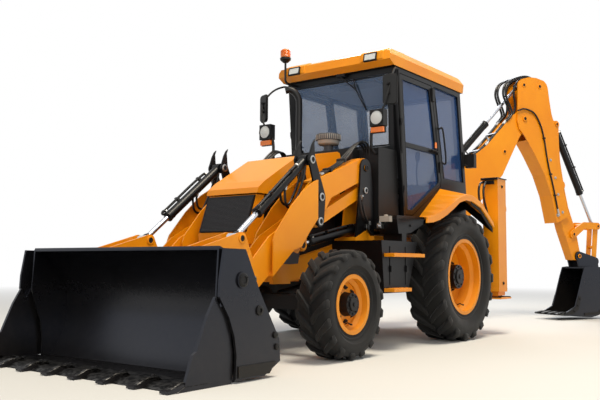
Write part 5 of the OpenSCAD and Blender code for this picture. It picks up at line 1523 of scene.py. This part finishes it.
class LOADER_OT_stage(bpy.types.Operator):
    """Pale floor, soft lights and the photograph's camera"""
    bl_idname = "loader.stage"
    bl_label = "Stage"

    def execute(self, context):
        scene = context.scene
        scene.view_settings.view_transform = "Standard"
        floor = bpy.data.objects.new("floor", bpy.data.meshes.new("floor"))
        reach = 60.0
        floor.data.from_pydata([(-reach, -reach, 0), (reach, -reach, 0), (reach, reach, 0),
                                (-reach, reach, 0)], [], [(0, 1, 2, 3)])
        scene.collection.objects.link(floor)
        floor.data.materials.append(floor_finish(scene.loader_colours.floor))
        scene.world = studio_world()
        for name, place, aim, size, power, colour in (
                ("key", (2.0, 3.0, 11.0), (0, 0, 1.2), 4.0, 1150, "#fff2dc"),
                ("fill", (9.5, 6.5, 5.0), (1.0, 0, 1.2), 6.0, 300, "#fbf8f2"),
                ("rim", (-8.0, -4.0, 8.0), (-1, 0, 1.5), 5.0, 500, "#f4f8ff")):
            light = bpy.data.lights.new(name, "AREA")
            light.shape, light.size, light.energy = "DISK", size, power
            light.color = linear(colour)[:3]
            lamp = bpy.data.objects.new(name, light)
            lamp.location = place
            lamp.rotation_euler = (Vector(aim) - Vector(place)).to_track_quat("-Z", "Y").to_euler()
            scene.collection.objects.link(lamp)
        scene.camera = photo_camera()
        scene.collection.objects.link(scene.camera)
        return {"FINISHED"}


def seen_straight(tree):
    """1 for rays that show a background: from the camera, or by a mirror or glass."""
    path = add(tree, "ShaderNodeLightPath").outputs
    first = add(tree, "ShaderNodeMath", {0: path["Is Camera Ray"], 1: path["Is Glossy Ray"]},
                operation="MAXIMUM")
    return add(tree, "ShaderNodeMath", {0: first.outputs[0], 1: path["Is Transmission Ray"]},
               operation="MAXIMUM").outputs[0]


def studio_world():
    """A white room: plain white to look at, dimmer as light."""
    world = bpy.data.worlds.new("studio")
    world.use_nodes = True
    tree = world.node_tree
    back = tree.nodes["Background"]
    back.inputs["Color"].default_value = linear("#ffffff")
    add(tree, "ShaderNodeMapRange", {"Value": seen_straight(tree), "To Min": 0.42}, back.inputs["Strength"])
    return world


def floor_finish(colour):
    """Painted studio floor, paler towards the horizon so that it meets the white room."""
    material, tree, shader = finish("studio_floor", roughness=0.9)
    shader.inputs["Base Color"].default_value = colour
    place = add(tree, "ShaderNodeTexCoord").outputs["Object"]
    away = add(tree, "ShaderNodeVectorMath", {0: place}, operation="LENGTH").outputs["Value"]
    paler = add(tree, "ShaderNodeMapRange", {"Value": away, "From Min": 7.0, "From Max": 20.0}).outputs[0]
    share = add(tree, "ShaderNodeMath", {0: paler, 1: seen_straight(tree)},
                operation="MULTIPLY").outputs[0]
    glow = add(tree, "ShaderNodeEmission", {"Color": "#ffffff", "Strength": 1.0}).outputs[0]
    add(tree, "ShaderNodeMixShader", {0: share, 1: shader.outputs[0], 2: glow},
        tree.nodes["Material Output"].inputs["Surface"])
    return material


def photo_camera():
    """The photograph's viewpoint: its lens as worked out from a picture 600 pixels wide."""
    place, heading, pitch, roll = Vector((7.871, 4.533, 0.812)), 217.226, 4.853, 0.349
    focal_pixels, width_pixels, sensor = 752.7, 600, 36.0
    h, p, r = (math.radians(a) for a in (heading, pitch, roll))
    ahead = Vector((math.cos(h) * math.cos(p), math.sin(h) * math.cos(p), math.sin(p)))
    right = ahead.cross(Z).normalized()
    up = right.cross(ahead)
    right, up = right * math.cos(r) + up * math.sin(r), up * math.cos(r) - right * math.sin(r)
    data = bpy.data.cameras.new("photo_camera")
    data.sensor_fit, data.sensor_width = "HORIZONTAL", sensor
    data.lens = sensor * focal_pixels / width_pixels
    camera = bpy.data.objects.new("photo_camera", data)
    turn = Matrix((right, up, -ahead)).transposed().to_4x4()
    camera.matrix_world = Matrix.Translation(place) @ turn
    return camera


def repaint(node, kind, chosen=lambda place: True):
    """Gives another finish to the faces of a CAD node whose corners are all chosen by their place."""
    mesh = frame["nodes"][node].data
    mesh.materials.append(FINISH[kind])
    for face in mesh.polygons:
        if all(chosen(mesh.vertices[v].co - MIDDLE) for v in face.vertices):
            face.material_index = len(mesh.materials) - 1


class LOADER_OT_finishes(bpy.types.Operator):
    """Makes the materials and gives each CAD node its own"""
    bl_idname = "loader.finishes"
    bl_label = "Finishes"

    def execute(self, context):
        colours = context.scene.loader_colours
        FINISH.update(make_finishes({name: tuple(getattr(colours, name))
                                     for name in ("orange", "orange_deep", "black")}))
        for node in frame["nodes"].values():
            for holder in node.material_slots:
                kind = SLOT_FINISH.get(holder.material.name.split(".")[0])
                if kind is None:
                    raise RuntimeError(f"{node.name} has a finish that isn't in the record's slots")
                holder.material = FINISH[kind]
        # the doors' panes, 7 mm thick
        pane_y, half_thick = 0.6975, 0.0035
        for word, _ in SIDES:
            repaint("door_" + word, "tinted", lambda p: abs(abs(p.y) - pane_y) < half_thick)
        # the hubs in the orange rims
        for name, _, _, tyre, hub in wheels():
            repaint("rim_" + name, "black",
                    lambda p: math.hypot(p.x - tyre["x"], p.z - tyre["radius"]) < hub["radius"] * 1.12)
        # the roof's underside, and the panes beside and behind the seat
        repaint("cab_roof", "plastic", lambda p: p.z < 2.8965)
        repaint("cab_glass", "tinted", lambda p: abs(p.y) > 0.69 or p.x < -0.70)
        # the outer plate of each loader tower
        repaint("chassis_frame", "black", lambda p: abs(p.y) > 0.60 and p.z > 1.045)
        repaint("console", "dash")
        for name in ("bucket_back", "bucket_jaw", "hoe_bucket"):
            repaint(name, "bucket")
        return {"FINISHED"}


FINISH = {}
OPERATORS = (LOADER_OT_finishes, LOADER_OT_stage, LOADER_OT_tyres, LOADER_OT_wheel_fittings,
             LOADER_OT_lamps, LOADER_OT_mirrors, LOADER_OT_grille, LOADER_OT_breathers,
             LOADER_OT_cab_trim, LOADER_OT_operator_place, LOADER_OT_loader_fittings,
             LOADER_OT_bucket_fittings, LOADER_OT_chassis_fittings, LOADER_OT_stabiliser_fittings,
             LOADER_OT_hoe_fittings, LOADER_OT_hoe_bucket_fittings)


class LOADER_PT_dressing(bpy.types.Panel):
    """Lists the loader's sizes, colours and pieces"""
    bl_idname = "LOADER_PT_dressing"
    bl_label = "Backhoe Loader"
    bl_space_type = "VIEW_3D"
    bl_region_type = "UI"
    bl_category = "Loader"

    def draw(self, context):
        column = self.layout.column()
        for group in (context.scene.loader_sizes, context.scene.loader_colours):
            for name in group.bl_rna.properties.keys():
                if name not in ("rna_type", "name"):
                    column.prop(group, name)
        for operator in OPERATORS:
            column.operator(operator.bl_idname)


CLASSES = (LoaderColours, LoaderSizes) + OPERATORS + (LOADER_PT_dressing,)


def register():
    for kind in CLASSES:
        bpy.utils.register_class(kind)
    bpy.types.Scene.loader_colours = PointerProperty(type=LoaderColours)
    bpy.types.Scene.loader_sizes = PointerProperty(type=LoaderSizes)


def unregister():
    del bpy.types.Scene.loader_sizes
    del bpy.types.Scene.loader_colours
    for kind in reversed(CLASSES):
        bpy.utils.unregister_class(kind)


def main():
    register()
    for operator in OPERATORS:
        group, name = operator.bl_idname.split(".")
        getattr(getattr(bpy.ops, group), name)()


if __name__ == "__main__":
    main()
